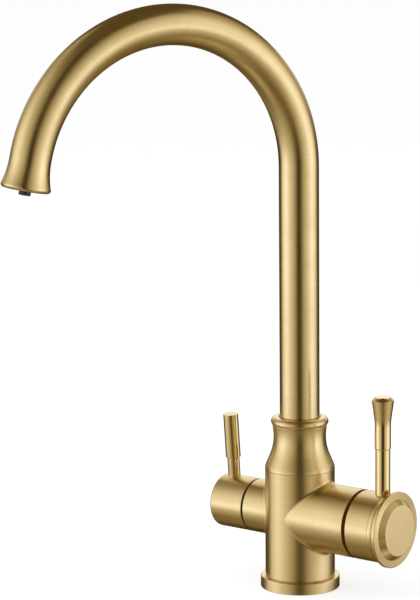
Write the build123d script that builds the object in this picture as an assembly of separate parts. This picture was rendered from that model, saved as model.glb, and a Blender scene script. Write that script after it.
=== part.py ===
from build123d import *

import os
from math import asin, atan2, cos, degrees, hypot, pi, radians, sin, sqrt, tan

# Deck-mounted kitchen tap with a swan-neck spout: a tilting mixer lever for hot and cold
# water on one side, a quarter-turn lever for filtered water on the other, and a second
# waterway inside the spout that ends in its own nozzle.
#
# Millimetres. The origin is the centre of the base, where it stands on the deck. +Z is up,
# +X points along the valve axis to the mixer lever, -X to the filter lever and -Y to the
# user. Turned pieces are drawn on a local Z axis and then laid along the valve axis or
# set into the spout.

# ---------------------------------------------------------------- fits
fixed_gap = 0.05  # all round, between pieces that are fixed together
running_gap = 0.10  # all round, between a turning piece and what guides it
face_gap = 0.10  # between the end faces of a turning piece and its stop
disc_film = 0.05  # water film between two ceramic discs
passing_gap = 0.30  # between pieces that swing past each other

# ---------------------------------------------------------------- base and column
column_radius = 22.0
seam_height = 76.4  # top edge of the column, where the bonnet stands
base_ring_height = 7.3
base_ring_lip = 3.0  # how far the ring stands out of the column
base_ring_edge = 0.8
foot_step = 3.1  # how far the foot inside the ring is smaller than the column
shadow_groove_depth = 0.5
shadow_groove_height = 0.6
base_seal_inset = 1.3  # land left on the ring each side of the seal
base_seal_thickness = 2.0
saddle_fillet = 2.5  # where the housings run into the column
rim_chamfer = 0.35  # broken edges of the rims

# ---------------------------------------------------------------- inlets in the foot
inlet_core_radius = 4.5  # M10 x 1 hose tail
inlet_depth = 12.0
main_inlet_offset = 1.6  # hot and cold, outwards from the passage above each
filter_inlet_offset = 1.9  # inwards from the passage above it
stud_core_radius = 2.5  # M6 fixing stud
stud_depth = 14.0
stud_x = 7.0
stud_spread = 12.0
inlet_passage_radius = 2.6
mixed_passage_radius = 2.0
filter_passage_radius = 2.0
passage_wall = 0.8  # least brass between a passage and the cartridge seat

# ---------------------------------------------------------------- bonnet
waist_rise = 20.9  # seam to the narrowest place
collar_rise = 12.5  # narrowest place to the top of the bead
waist_radius = 16.5
collar_radius = 18.1
bead_radius = 2.85
bead_foot_angle = 45.0  # where the bead starts, below its middle
shoulder_radius = 8.0  # arc out of the column
throat_radius = 31.0  # arc into the waist
bead_groove = 0.35
neck_thread_radius = 15.0
neck_thread_height = 9.6

# ---------------------------------------------------------------- swivel
tube_radius = 12.5
tube_wall = 1.5
spigot_bore_radius = 8.0
spigot_radius = 10.5
spigot_length = 16.0  # below its shoulder
spigot_sleeve_length = 28.0  # inside the tube
swivel_shoulder_radius = 14.7
swivel_shoulder_height = 3.4
swivel_washer_thickness = 0.8
spigot_ring_radius = 1.0  # thickness radius of its O-rings
spigot_ring_places = (4.0, 10.0)  # below the shoulder
swivel_bore_floor = 8.4  # depth of the bore below the seam
collar_bush_wall = 0.6
collar_bush_length = 8.3
collar_bush_inset = 0.4

# ---------------------------------------------------------------- spout
swivel_angle = 23.0  # spout turned from the front towards the filter lever
arch_radius = 93.5
arch_height = 268.4  # where the riser meets the arch
arch_sweep = 168.0
flare_length = 18.0
tail_straight = 0.5  # plain tube between the arch and the flare
lip_radius = 15.1
lip_edge = 1.0
aerator_bore_radius = 12.35
aerator_bore_depth = 9.4
aerator_set_back = 0.6
aerator_wall = 1.3
aerator_ledge = 0.55  # thickness of the ledge under the core
aerator_core_thickness = 2.8
aerator_hole_radius = 0.6
aerator_hole_pitch = 1.9
aerator_hole_margin = 1.0  # rim of the core left solid beyond the holes
aerator_seal_thickness = 1.2
aerator_seal_width = 3.0
nozzle_radius = 3.65
nozzle_reach = 3.0  # beyond the lip
nozzle_bore_radius = 2.0
nozzle_collar = 0.9
nozzle_collar_length = 2.0
nozzle_socket_length = 6.0
nozzle_shank_length = 13.0  # inside the lip

# ---------------------------------------------------------------- inner filtered-water tube
inner_tube_radius = 3.0
inner_tube_wall = 0.9
riser_fitting_radius = 5.0
riser_fitting_height = 14.0
riser_stub_radius = 2.2
riser_stub_length = 4.0
riser_socket_depth = 10.0
riser_ring_radius = 0.7
riser_ring_drop = 3.0  # below the mouth of the socket

# ---------------------------------------------------------------- valve axis
valve_axis = 47.2

# ---------------------------------------------------------------- mixer housing and hub
mixer_housing_radius = 21.7
mixer_rim_x = 46.9
mixer_gap = 2.2
hub_proud = 0.05
skirt_wall = 1.35
flow_tilt = 20.0
dome_gap = 0.8
dome_wall = 1.2
dome_margin = 3.0  # spare degrees at the mouth of the dome
dome_spigot_wall = 1.2
hub_groove_place = 16.4  # from the back edge of the hub
hub_groove_width = 0.4
hub_groove_depth = 0.2
hub_flare_start = 17.4
hub_flare_end = 21.7
hub_length = 23.7
flange_lip = 2.15
flange_edge = 0.4
hub_boss_radius = 6.3
hub_boss_reach = 20.9  # back of the boss, in front of the tilt pin
cap_foot_radius = 19.25
cap_face_radius = 16.0
cap_height = 3.4
cap_edge = 0.3
cap_spigot_radius = 16.0
cap_spigot_length = 4.0
cap_shell = 2.6
hub_screw_radius = 2.4
hub_screw_head_radius = 4.2
hub_screw_head_height = 2.4
hub_screw_reach = 10.0
hub_web = 2.0

# ---------------------------------------------------------------- mixer lever
mixer_lever_place = 14.0  # from the back edge of the hub
mixer_stem_radius = 4.65
mixer_stem_length = 28.5  # above the hub
stem_seat_depth = 2.4
mixer_thread_radius = 3.0
mixer_thread_length = 9.0
mixer_knob_radius = 5.0
mixer_knob_length = 33.0
mixer_knob_straight = 14.1
mixer_knob_arc = 40.0
mixer_knob_flare = 8.0  # degrees
mixer_knob_crown = 2.1  # from the widest place to the top
mixer_knob_top_radius = 4.8
mixer_knob_step = 0.5
knob_spigot_radius = 2.8
knob_spigot_length = 12.0

# ---------------------------------------------------------------- mixer cartridge
cartridge_radius = 17.5
cartridge_wall = 1.9
carrier_below_pin = 5.8
carrier_above_pin = 2.9
cartridge_lip = 1.9
cartridge_mouth_radius = 9.5
base_thickness = 4.0
fixed_disc_thickness = 3.5
moving_disc_thickness = 3.0
moving_disc_radius = 12.2
driver_thickness = 6.6
port_radius = 2.6
port_spread = 7.0
port_rise = 6.0
outlet_drop = 7.5
port_ring_radius = 0.75
chamber_half_width = 7.5
chamber_low = 8.5
chamber_high = 2.9
chamber_depth = 1.6
spindle_radius = 4.0
spindle_ball_radius = 2.8
spindle_arm = 8.0  # tilt pin to the ball
spindle_neck_radius = 1.9
spindle_boss_radius = 5.2
tilt_pin_radius = 1.5
tilt_pin_length = 24.0
carrier_slot_half = 6.4
nut_thickness = 7.0
nut_wall = 7.5
nut_thread_step = 2.0  # thread beyond the cartridge
nut_slot_width = 3.0
nut_slot_depth = 2.5

# ---------------------------------------------------------------- filter valve
filter_housing_radius = 16.9
filter_rim_x = 33.2
filter_gap = 1.2
filter_hub_length = 24.9
filter_hub_edge = 1.6
filter_hub_wall = 2.3
filter_hub_recess = 2.6
filter_seat_x = 8.0
filter_valve_radius = 9.0
filter_valve_wall = 1.5
filter_seal_thickness = 1.4
filter_seal_width = 2.6
filter_disc_thickness = 2.5
filter_port_radius = 1.9
filter_port_offset = 3.9
filter_window_radius = 1.8
filter_window_place = 6.5  # from the seat
filter_spindle_radius = 4.4
filter_foot_height = 3.3
filter_flange_radius = 12.6
filter_flange_height = 5.0
filter_flange_setback = 2.2  # front of the flange behind the rim
filter_spline_radius = 3.9
filter_spline_length = 20.0
filter_ring_radius = 0.65
filter_ring_place = 6.0  # from the foot of the spindle
clip_thickness = 0.7
clip_width = 2.6
clip_groove_depth = 0.5
clip_mouth = 4.0
glide_ring_wall = 1.4
glide_ring_depth = 1.8
glide_flange_inset = 1.1

# ---------------------------------------------------------------- filter lever
filter_lever_place = 16.1  # from the back edge of the hub
filter_lever_lean = 5.0  # towards the user
filter_stem_radius = 3.9
filter_stem_length = 12.5
filter_thread_radius = 2.5
filter_thread_length = 6.0
filter_knob_radius = 4.75
filter_knob_length = 29.2
filter_knob_chamfer = 0.7
filter_knob_edge = 0.3
filter_knob_spigot_radius = 2.4
grub_radius = 1.6
grub_set_back = 4.35  # end of the screw below the surface of the hub
grub_place = 9.0  # from the back edge of the hub
grub_socket_radius = 0.9
grub_socket_depth = 2.5

# ---------------------------------------------------------------- worked out from the above
foot_radius = column_radius - foot_step
base_ring_radius = column_radius + base_ring_lip
shadow_groove_top = base_ring_height + shadow_groove_height

waist_height = seam_height + waist_rise
collar_height = waist_height + collar_rise
neck_top = seam_height + neck_thread_height
neck_bore_radius = spigot_radius + running_gap
swivel_floor = seam_height - swivel_bore_floor
shoulder_height = neck_top + swivel_washer_thickness + face_gap
tube_foot = shoulder_height + swivel_shoulder_height
bonnet_step = tube_foot + face_gap + swivel_washer_thickness
bonnet_bore_radius = tube_radius + running_gap + collar_bush_wall + fixed_gap
bonnet_thread_radius = neck_thread_radius + fixed_gap
swivel_washer_radius = neck_thread_radius - fixed_gap

hub_back_x = mixer_rim_x + mixer_gap
hub_radius = mixer_housing_radius + hub_proud
skirt_radius = hub_radius - skirt_wall


def tilt_pin_depth():
    """Depth of the tilt pin behind the hub, so that the skirt just swings round the rim."""
    spare = mixer_gap**2 + mixer_housing_radius**2 + passing_gap**2 - skirt_radius**2
    square = 4 * (mixer_gap**2 - passing_gap**2)
    linear = 8 * passing_gap**2 * mixer_gap - 4 * mixer_gap * spare
    plain = spare**2 - 4 * passing_gap**2 * (mixer_gap**2 + mixer_housing_radius**2)
    return (sqrt(linear**2 - 4 * square * plain) - linear) / (2 * square)


pin_x = hub_back_x - tilt_pin_depth()
cavity_radius = hypot(mixer_rim_x - pin_x, mixer_housing_radius) + passing_gap
dome_radius = cavity_radius - dome_gap
carrier_top_x = pin_x + carrier_above_pin
carrier_foot_x = pin_x - carrier_below_pin
driver_top_x = carrier_foot_x - face_gap
driver_foot_x = driver_top_x - driver_thickness
moving_disc_foot_x = driver_foot_x - moving_disc_thickness
fixed_disc_top_x = moving_disc_foot_x - disc_film
fixed_disc_foot_x = fixed_disc_top_x - fixed_disc_thickness
seat_x = fixed_disc_foot_x - base_thickness
shell_top_x = carrier_top_x + face_gap + cartridge_lip
nut_top_x = shell_top_x + nut_thickness
cartridge_bore_radius = cartridge_radius - cartridge_wall
nut_radius = cartridge_radius + nut_thread_step
mouth_radius = nut_radius + fixed_gap

flange_front_x = hub_back_x + hub_length
cap_floor_x = flange_front_x - cap_spigot_length
screw_seat_x = cap_floor_x - hub_screw_head_height
spindle_end_x = screw_seat_x - hub_web
mixer_lever_x = hub_back_x + mixer_lever_place
main_passage_x = seat_x - inlet_passage_radius - 2 * passage_wall
mixed_passage_x = seat_x - mixed_passage_radius - passage_wall

filter_bore_radius = filter_valve_radius + fixed_gap
filter_window_x = filter_seat_x + filter_window_place
filter_shell_foot_x = filter_seat_x + filter_seal_thickness
filter_chamber_radius = filter_valve_radius - filter_valve_wall
filter_fixed_top_x = filter_shell_foot_x + filter_disc_thickness
filter_moving_foot_x = filter_fixed_top_x + disc_film
filter_moving_top_x = filter_moving_foot_x + filter_disc_thickness
filter_foot_top_x = filter_moving_top_x + filter_foot_height
filter_flange_top_x = filter_rim_x - filter_flange_setback
filter_flange_foot_x = filter_flange_top_x - filter_flange_height
clip_foot_x = filter_flange_top_x + face_gap
clip_top_x = clip_foot_x + clip_thickness
filter_spindle_end_x = clip_top_x + filter_spline_length
filter_mouth_radius = filter_flange_radius + 2 * fixed_gap + glide_ring_wall
filter_hub_back_x = filter_rim_x + filter_gap
filter_hub_end_x = filter_hub_back_x + filter_hub_length
filter_lever_x = filter_hub_back_x + filter_lever_place
filter_grub_x = filter_hub_back_x + grub_place

aerator_radius = aerator_bore_radius - fixed_gap
aerator_core_radius = aerator_radius - aerator_wall - fixed_gap
aerator_core_foot = aerator_set_back + aerator_ledge
aerator_core_top = aerator_core_foot + aerator_core_thickness

tail_length = tail_straight + flare_length
lip_plane = Plane(
    origin=(
        arch_radius * (1 - cos(radians(arch_sweep))) + tail_length * sin(radians(arch_sweep)),
        0,
        arch_height + arch_radius * sin(radians(arch_sweep)) + tail_length * cos(radians(arch_sweep)),
    ),
    x_dir=(0, 1, 0),
    z_dir=(-sin(radians(arch_sweep)), 0, -cos(radians(arch_sweep))),
)  # local Z runs from the lip up into the spout


# ---------------------------------------------------------------- shaping helpers
def rod(radius, start, end):
    """Cylinder on the local Z axis."""
    return Pos(0, 0, start) * Cylinder(
        radius, end - start, align=(Align.CENTER, Align.CENTER, Align.MIN)
    )


def sleeve(outer, inner, start, end):
    """Hollow cylinder on the local Z axis."""
    return rod(outer, start, end) - rod(inner, start, end)


def in_section(point):
    """A (radius, height) pair as a point of the half section that is turned."""
    radius, height = point
    return (radius, 0, height)


def side(*points):
    """Straight sides of an outline through (radius, height) pairs, repeats left out."""
    corners = [in_section(points[0])]
    for point in points[1:]:
        if in_section(point) != corners[-1]:
            corners.append(in_section(point))
    return Polyline(*corners).edges()


def bend(start, middle, end):
    """Round side of an outline through three (radius, height) pairs."""
    return ThreePointArc(in_section(start), in_section(middle), in_section(end)).edges()


def turned(*sides):
    """Solid turned about the local Z axis from the sides of a closed outline."""
    edges = [edge for piece in sides for edge in piece]
    return revolve(make_face(edges), Axis.Z)


def chamfered_rod(radius, start, end, start_chamfer, end_chamfer):
    """Cylinder on the local Z axis with its end edges broken."""
    return turned(
        side(
            (0, start),
            (radius - start_chamfer, start),
            (radius, start + start_chamfer),
            (radius, end - end_chamfer),
            (radius - end_chamfer, end),
            (0, end),
            (0, start),
        )
    )


def drilling(radius, start, end):
    """Round passage from one point to another."""
    way = Vector(*end) - Vector(*start)
    return Plane(origin=start, z_dir=way) * rod(radius, 0, way.length)


def ring(middle_radius, thickness_radius, height):
    """O-ring on the local Z axis."""
    return Pos(0, 0, height) * Torus(middle_radius, thickness_radius)


def hexagon_socket(radius, start, end):
    """Six-sided recess on the local Z axis."""
    return Pos(0, 0, start) * extrude(RegularPolygon(radius, 6), end - start)


def arc_point(centre, radius, angle):
    """Point of an arc in the half section, its angle measured from outwards."""
    return (
        centre[0] + radius * cos(radians(angle)),
        centre[1] + radius * sin(radians(angle)),
    )


def on_mixer_side(shape):
    """Lay a piece drawn on local Z along the valve axis, towards the mixer lever."""
    return Pos(0, 0, valve_axis) * Rot(0, 90, 0) * shape


def on_filter_side(shape):
    """Lay a piece drawn on local Z along the valve axis, towards the filter lever."""
    return Rot(0, 0, 180) * on_mixer_side(shape)


def leaning(shape):
    """Turn a piece of the filter handle about the valve axis, as its lever leans."""
    return Pos(0, 0, valve_axis) * Rot(filter_lever_lean, 0, 0) * Pos(0, 0, -valve_axis) * shape


def in_spout(shape):
    """Turn a piece drawn in the XZ plane to where the spout stands."""
    return Rot(0, 0, -(90 + swivel_angle)) * shape


def in_tip(shape):
    """Set a piece drawn from the lip upwards into the end of the spout."""
    return in_spout(lip_plane * shape)


def valve_point(x, y, rise):
    """Point beside the valve axis on the mixer side."""
    return (x, y, valve_axis + rise)


# ---------------------------------------------------------------- base
def base_ring():
    """Ring that the column stands in, grooved underneath for its seal."""
    blank = turned(
        side(
            (0, 0),
            (base_ring_radius, 0),
            (base_ring_radius, base_ring_height - base_ring_edge),
        ),
        bend(
            (base_ring_radius, base_ring_height - base_ring_edge),
            arc_point(
                (base_ring_radius - base_ring_edge, base_ring_height - base_ring_edge),
                base_ring_edge,
                45,
            ),
            (base_ring_radius - base_ring_edge, base_ring_height),
        ),
        side((base_ring_radius - base_ring_edge, base_ring_height), (0, base_ring_height), (0, 0)),
    )
    inner_radius = foot_radius + fixed_gap
    groove = sleeve(
        base_ring_radius - base_seal_inset,
        inner_radius + base_seal_inset,
        0,
        base_seal_thickness + fixed_gap,
    )
    return blank - rod(inner_radius, 0, base_ring_height) - groove


def base_seal():
    """Rubber ring in the groove, level with the underside."""
    return sleeve(
        base_ring_radius - base_seal_inset - fixed_gap,
        foot_radius + base_seal_inset + 2 * fixed_gap,
        0,
        base_seal_thickness,
    )


# ---------------------------------------------------------------- valve body
def mixer_bore():
    """Seat, cartridge bore and threaded mouth of the mixer housing."""
    bore = rod(cartridge_radius + fixed_gap, seat_x, mixer_rim_x)
    return on_mixer_side(bore + rod(mouth_radius, shell_top_x, mixer_rim_x))


def filter_bore():
    """Seat, valve bore and mouth of the filter housing."""
    bore = rod(filter_bore_radius, filter_seat_x, filter_rim_x)
    return on_filter_side(bore + rod(filter_mouth_radius, filter_flange_foot_x, filter_rim_x))


def main_passages():
    """Hot and cold waterways from the inlets to the cartridge seat, and the mixed one up."""
    passages = []
    for hand in (-1, 1):
        y = hand * port_spread
        passages.append(
            drilling(
                inlet_passage_radius,
                (main_passage_x, y, 0),
                valve_point(main_passage_x, y, port_rise + inlet_passage_radius),
            )
        )
        passages.append(
            drilling(
                inlet_passage_radius,
                valve_point(main_passage_x, y, port_rise),
                valve_point(seat_x, y, port_rise),
            )
        )
    passages.append(
        drilling(
            mixed_passage_radius,
            valve_point(mixed_passage_x, 0, -outlet_drop),
            valve_point(seat_x, 0, -outlet_drop),
        )
    )
    passages.append(
        drilling(
            mixed_passage_radius,
            valve_point(mixed_passage_x, 0, -outlet_drop - mixed_passage_radius),
            (mixed_passage_x, 0, swivel_floor),
        )
    )
    return passages


def filter_passages():
    """Filtered waterway from its inlet to the valve, and from its seat to the riser."""
    return [
        drilling(
            filter_passage_radius, (-filter_window_x, 0, 0), (-filter_window_x, 0, valve_axis)
        ),
        drilling(filter_passage_radius, (-filter_seat_x, 0, valve_axis), (0, 0, valve_axis)),
        drilling(
            riser_stub_radius - inner_tube_wall,
            (0, 0, valve_axis - filter_passage_radius),
            (0, 0, swivel_floor),
        ),
        drilling(
            riser_stub_radius + fixed_gap,
            (0, 0, swivel_floor - riser_stub_length - fixed_gap),
            (0, 0, swivel_floor),
        ),
    ]


def inlet_holes():
    """Threaded holes in the foot for the three hose tails and the two fixing studs."""
    filter_inlet = Pos(filter_inlet_offset - filter_window_x, 0, 0)
    holes = [filter_inlet * rod(inlet_core_radius, 0, inlet_depth)]
    for hand in (-1, 1):
        inlet = Pos(main_passage_x, hand * (port_spread + main_inlet_offset), 0)
        holes.append(inlet * rod(inlet_core_radius, 0, inlet_depth))
        stud = Pos(-stud_x, hand * stud_spread, 0)
        holes.append(stud * rod(stud_core_radius, 0, stud_depth))
    return holes


def housing(radius, rim_x):
    """Outside of a valve housing, from the middle of the column to its rim."""
    return chamfered_rod(radius, 0, rim_x, 0, rim_chamfer)


def valve_body():
    """Casting: column and foot, both housings and the threaded neck, bored and drilled."""
    casting = rod(column_radius, shadow_groove_top, seam_height)
    casting += on_mixer_side(housing(mixer_housing_radius, mixer_rim_x))
    casting += on_filter_side(housing(filter_housing_radius, filter_rim_x))
    plain = (GeomType.LINE, GeomType.CIRCLE)
    saddles = [edge for edge in casting.edges() if edge.geom_type not in plain]
    casting = fillet(saddles, saddle_fillet)
    casting += rod(column_radius - shadow_groove_depth, base_ring_height, shadow_groove_top)
    casting += rod(foot_radius, 0, base_ring_height)
    casting += rod(neck_thread_radius, seam_height, neck_top)
    swivel_bore = rod(neck_bore_radius, swivel_floor, neck_top)
    waterways = [*main_passages(), *filter_passages(), *inlet_holes()]
    return casting - [swivel_bore, mixer_bore(), filter_bore(), *waterways]


# ---------------------------------------------------------------- bonnet and swivel
def bonnet_outline():
    """Outer sides of the bonnet, from the seam up to the top of its bead."""
    arcs = shoulder_radius + throat_radius
    inset = arcs - (column_radius - waist_radius)
    straight = sqrt(inset**2 + waist_rise**2 - arcs**2)
    slope = degrees(atan2(waist_rise, inset) - atan2(straight, arcs))
    shoulder = (column_radius - shoulder_radius, seam_height)
    throat = (waist_radius + throat_radius, waist_height)
    shoulder_end = arc_point(shoulder, shoulder_radius, slope)
    throat_start = arc_point(throat, throat_radius, 180 + slope)
    waist = (waist_radius, waist_height)
    bead = (collar_radius - bead_radius, collar_height - bead_radius)
    bead_start = arc_point(bead, bead_radius, -bead_foot_angle)
    groove_top = (bead_start[0] - bead_groove, bead_start[1])
    groove_foot = (bead_start[0] - bead_groove, bead_start[1] - bead_groove)
    flare_end = (bead_start[0], bead_start[1] - 2 * bead_groove)
    flare_rise = flare_end[1] - waist_height
    flare_step = flare_end[0] - waist_radius
    flare_radius = (flare_rise**2 + flare_step**2) / (2 * flare_step)
    flare = (waist_radius + flare_radius, waist_height)
    flare_angle = degrees(asin(flare_rise / flare_radius))
    return [
        bend(
            (column_radius, seam_height),
            arc_point(shoulder, shoulder_radius, slope / 2),
            shoulder_end,
        ),
        side(shoulder_end, throat_start),
        bend(throat_start, arc_point(throat, throat_radius, 180 + slope / 2), waist),
        bend(waist, arc_point(flare, flare_radius, 180 - flare_angle / 2), flare_end),
        side(flare_end, groove_foot, groove_top, bead_start),
        bend(
            bead_start,
            arc_point(bead, bead_radius, (90 - bead_foot_angle) / 2),
            arc_point(bead, bead_radius, 90),
        ),
    ]


def neck_bonnet():
    """Vase-shaped bonnet that screws onto the neck and holds the spout down."""
    bead_top = (collar_radius - bead_radius, collar_height)
    blank = turned(
        *bonnet_outline(),
        side(bead_top, (0, collar_height), (0, seam_height), (column_radius, seam_height)),
    )
    thread = rod(bonnet_thread_radius, seam_height, bonnet_step)
    return blank - thread - rod(bonnet_bore_radius, bonnet_step, collar_height)


def swivel_washer(start):
    """Low-friction washer beside the shoulder of the spigot."""
    inner = tube_radius + passing_gap
    return sleeve(swivel_washer_radius, inner, start, start + swivel_washer_thickness)


def collar_bush():
    """Plastic bush in the collar that steadies the tube."""
    inner = tube_radius + running_gap
    top = collar_height - collar_bush_inset
    return sleeve(inner + collar_bush_wall, inner, top - collar_bush_length, top)


def spigot_ring_heights():
    """Heights of the two O-rings on the spigot."""
    return [shoulder_height - drop for drop in spigot_ring_places]


def spout_spigot():
    """Turned end of the spout: sealed spigot, captive shoulder and sleeve in the tube."""
    spigot = rod(spigot_radius, shoulder_height - spigot_length, shoulder_height)
    spigot += rod(swivel_shoulder_radius, shoulder_height, tube_foot)
    spigot += rod(tube_radius - tube_wall - fixed_gap, tube_foot, tube_foot + spigot_sleeve_length)
    bore = rod(
        spigot_bore_radius, shoulder_height - spigot_length, tube_foot + spigot_sleeve_length
    )
    grooves = [
        sleeve(
            spigot_radius,
            spigot_radius - 2 * spigot_ring_radius + fixed_gap,
            height - spigot_ring_radius - fixed_gap,
            height + spigot_ring_radius + fixed_gap,
        )
        for height in spigot_ring_heights()
    ]
    return spigot - [bore, *grooves]


def spigot_o_rings():
    """Two rubber rings in the grooves of the spigot."""
    middle = spigot_radius + 2 * fixed_gap - spigot_ring_radius
    rings = [ring(middle, spigot_ring_radius, height) for height in spigot_ring_heights()]
    return Compound(children=rings)


# ---------------------------------------------------------------- spout
def spout_path(start_height, short_of_lip):
    """Middle line of the spout from a height in the riser to a distance short of the lip."""
    arch_centre = (arch_radius, 0, arch_height)
    riser = Line((0, 0, start_height), (0, 0, arch_height))
    middle, end = [
        (
            arch_centre[0] - arch_radius * cos(radians(angle)),
            0,
            arch_centre[2] + arch_radius * sin(radians(angle)),
        )
        for angle in (arch_sweep / 2, arch_sweep)
    ]
    arch = ThreePointArc((0, 0, arch_height), middle, end)
    lip = lip_plane.origin + lip_plane.z_dir * short_of_lip
    return Wire([*riser.edges(), *arch.edges(), *Line(end, lip).edges()])


def piped(radius, path, start_height):
    """Round bar along a path that starts upwards on the Z axis."""
    return sweep(Plane.XY.offset(start_height) * Circle(radius), path)


def flared_tip():
    """Trumpet-shaped end of the spout, drawn from the lip upwards."""
    step = lip_radius - tube_radius
    rise = flare_length - lip_edge
    radius = (rise**2 + step**2) / (2 * step)
    centre = (tube_radius + radius, flare_length)
    angle = degrees(asin(rise / radius))
    edge = (lip_radius - lip_edge, lip_edge)
    return turned(
        side((0, 0), (lip_radius - lip_edge, 0)),
        bend((lip_radius - lip_edge, 0), arc_point(edge, lip_edge, -45), (lip_radius, lip_edge)),
        bend(
            (lip_radius, lip_edge),
            arc_point(centre, radius, 180 + angle / 2),
            (tube_radius, flare_length),
        ),
        side((tube_radius, flare_length), (0, flare_length), (0, 0)),
    )


def spout_tube():
    """Swan-neck tube with its flared tip and the bore for the aerator."""
    outside = piped(tube_radius, spout_path(tube_foot, flare_length), tube_foot)
    outside += lip_plane * flared_tip()
    waterway = piped(tube_radius - tube_wall, spout_path(tube_foot, 0), tube_foot)
    aerator_bore = lip_plane * rod(aerator_bore_radius, 0, aerator_bore_depth)
    return in_spout(outside - waterway - aerator_bore)


def filtered_water_tube():
    """Inner waterway along the middle of the spout, from the riser fitting to the nozzle."""
    foot = swivel_floor + riser_fitting_height - riser_socket_depth + face_gap
    path = spout_path(foot, nozzle_shank_length - nozzle_socket_length + fixed_gap)
    bar = piped(inner_tube_radius, path, foot)
    return in_spout(bar - piped(inner_tube_radius - inner_tube_wall, path, foot))


def riser_ring_height():
    """Height of the O-ring in the mouth of the riser fitting."""
    return swivel_floor + riser_fitting_height - riser_ring_drop


def riser_fitting():
    """Turned socket screwed into the body, where the inner tube turns."""
    top = swivel_floor + riser_fitting_height
    socket_radius = inner_tube_radius + running_gap
    ring_space = riser_ring_radius + fixed_gap
    height = riser_ring_height()
    fitting = rod(riser_fitting_radius, swivel_floor, top)
    fitting += rod(riser_stub_radius, swivel_floor - riser_stub_length, swivel_floor)
    bore = rod(riser_stub_radius - inner_tube_wall, swivel_floor - riser_stub_length, top)
    socket = rod(socket_radius, top - riser_socket_depth, top)
    groove = rod(socket_radius + 2 * ring_space - running_gap, height - ring_space, height + ring_space)
    return fitting - [bore, socket, groove]


def riser_o_ring():
    """Seal round the foot of the inner tube."""
    middle = inner_tube_radius + fixed_gap + riser_ring_radius
    return ring(middle, riser_ring_radius, riser_ring_height())


# ---------------------------------------------------------------- aerator and nozzle
def aerator_housing():
    """Thin cup screwed into the lip, with a ledge that holds the core."""
    top = aerator_bore_depth - aerator_seal_thickness
    cup = rod(aerator_radius, aerator_set_back, top)
    mouth = rod(aerator_core_radius - aerator_hole_margin, aerator_set_back, aerator_core_foot)
    room = rod(aerator_core_radius + fixed_gap, aerator_core_foot, top)
    return in_tip(cup - [mouth, room])


def aerator_holes():
    """Rings of small outlets between the nozzle and the rim of the core."""
    holes = []
    radius = nozzle_radius + aerator_hole_pitch
    while radius + aerator_hole_radius <= aerator_core_radius - aerator_hole_margin:
        count = int(2 * pi * radius / aerator_hole_pitch)
        holes.extend(
            place * rod(aerator_hole_radius, aerator_core_foot, aerator_core_top)
            for place in PolarLocations(radius, count)
        )
        radius += aerator_hole_pitch
    return holes


def aerator_core():
    """Perforated disc that breaks up the mixed water round the nozzle."""
    disc = sleeve(
        aerator_core_radius, nozzle_radius + fixed_gap, aerator_core_foot, aerator_core_top
    )
    return in_tip(disc - aerator_holes())


def aerator_seal():
    """Flat rubber washer above the aerator."""
    foot = aerator_bore_depth - aerator_seal_thickness
    return in_tip(
        sleeve(aerator_radius, aerator_radius - aerator_seal_width, foot, aerator_bore_depth)
    )


def filtered_nozzle():
    """Plastic outlet of the filtered water, standing out of the middle of the aerator."""
    tip = chamfered_rod(nozzle_radius, -nozzle_reach, nozzle_shank_length, nozzle_reach / 10, 0)
    collar = rod(
        nozzle_radius + nozzle_collar, aerator_core_top, aerator_core_top + nozzle_collar_length
    )
    bore = rod(nozzle_bore_radius, -nozzle_reach, nozzle_shank_length)
    socket = rod(
        inner_tube_radius + fixed_gap,
        nozzle_shank_length - nozzle_socket_length,
        nozzle_shank_length,
    )
    return in_tip(tip + collar - [bore, socket])


# ---------------------------------------------------------------- mixer cartridge
def port_places():
    """Hot, cold and outlet ports on the local Z axis, whose -X side is up."""
    return [
        Pos(-port_rise, port_spread, 0),
        Pos(-port_rise, -port_spread, 0),
        Pos(outlet_drop, 0, 0),
    ]


def cartridge_base():
    """Plastic foot of the cartridge with its ports and their seal pockets."""
    base = rod(cartridge_radius, seat_x, fixed_disc_foot_x)
    pocket_radius = port_radius + 2 * port_ring_radius + 2 * fixed_gap
    cuts = []
    for place in port_places():
        cuts.append(place * rod(port_radius, seat_x, fixed_disc_foot_x))
        cuts.append(place * rod(pocket_radius, seat_x, seat_x + 2 * port_ring_radius))
    return on_mixer_side(base - cuts)


def cartridge_port_seals():
    """Three rubber rings between the cartridge and its seat."""
    middle = port_radius + port_ring_radius
    height = seat_x + port_ring_radius
    rings = [
        on_mixer_side(place * ring(middle, port_ring_radius, height)) for place in port_places()
    ]
    return Compound(children=rings)


def fixed_ceramic_disc():
    """Polished disc with the three ports, which doesn't move."""
    disc = rod(cartridge_bore_radius - fixed_gap, fixed_disc_foot_x, fixed_disc_top_x)
    ports = [
        place * rod(port_radius, fixed_disc_foot_x, fixed_disc_top_x) for place in port_places()
    ]
    return on_mixer_side(disc - ports)


def cartridge_shell():
    """Plastic case of the cartridge, open at the foot and lipped at the spindle."""
    shell = rod(cartridge_radius, fixed_disc_foot_x, shell_top_x)
    room = rod(cartridge_bore_radius, fixed_disc_foot_x, shell_top_x - cartridge_lip)
    mouth = rod(cartridge_mouth_radius, fixed_disc_foot_x, shell_top_x)
    return on_mixer_side(shell - [room, mouth])


def moving_ceramic_disc():
    """Polished disc whose chamber joins the ports as it slides up."""
    disc = rod(moving_disc_radius, moving_disc_foot_x, driver_foot_x)
    width = 2 * chamber_half_width
    chamber = Pos((chamber_low - chamber_high) / 2, 0, moving_disc_foot_x) * Box(
        chamber_low + chamber_high, width, 2 * chamber_depth
    )
    chamber = fillet(chamber.edges().filter_by(Axis.Z), chamber_half_width / 2)
    return on_mixer_side(disc - chamber)


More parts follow.
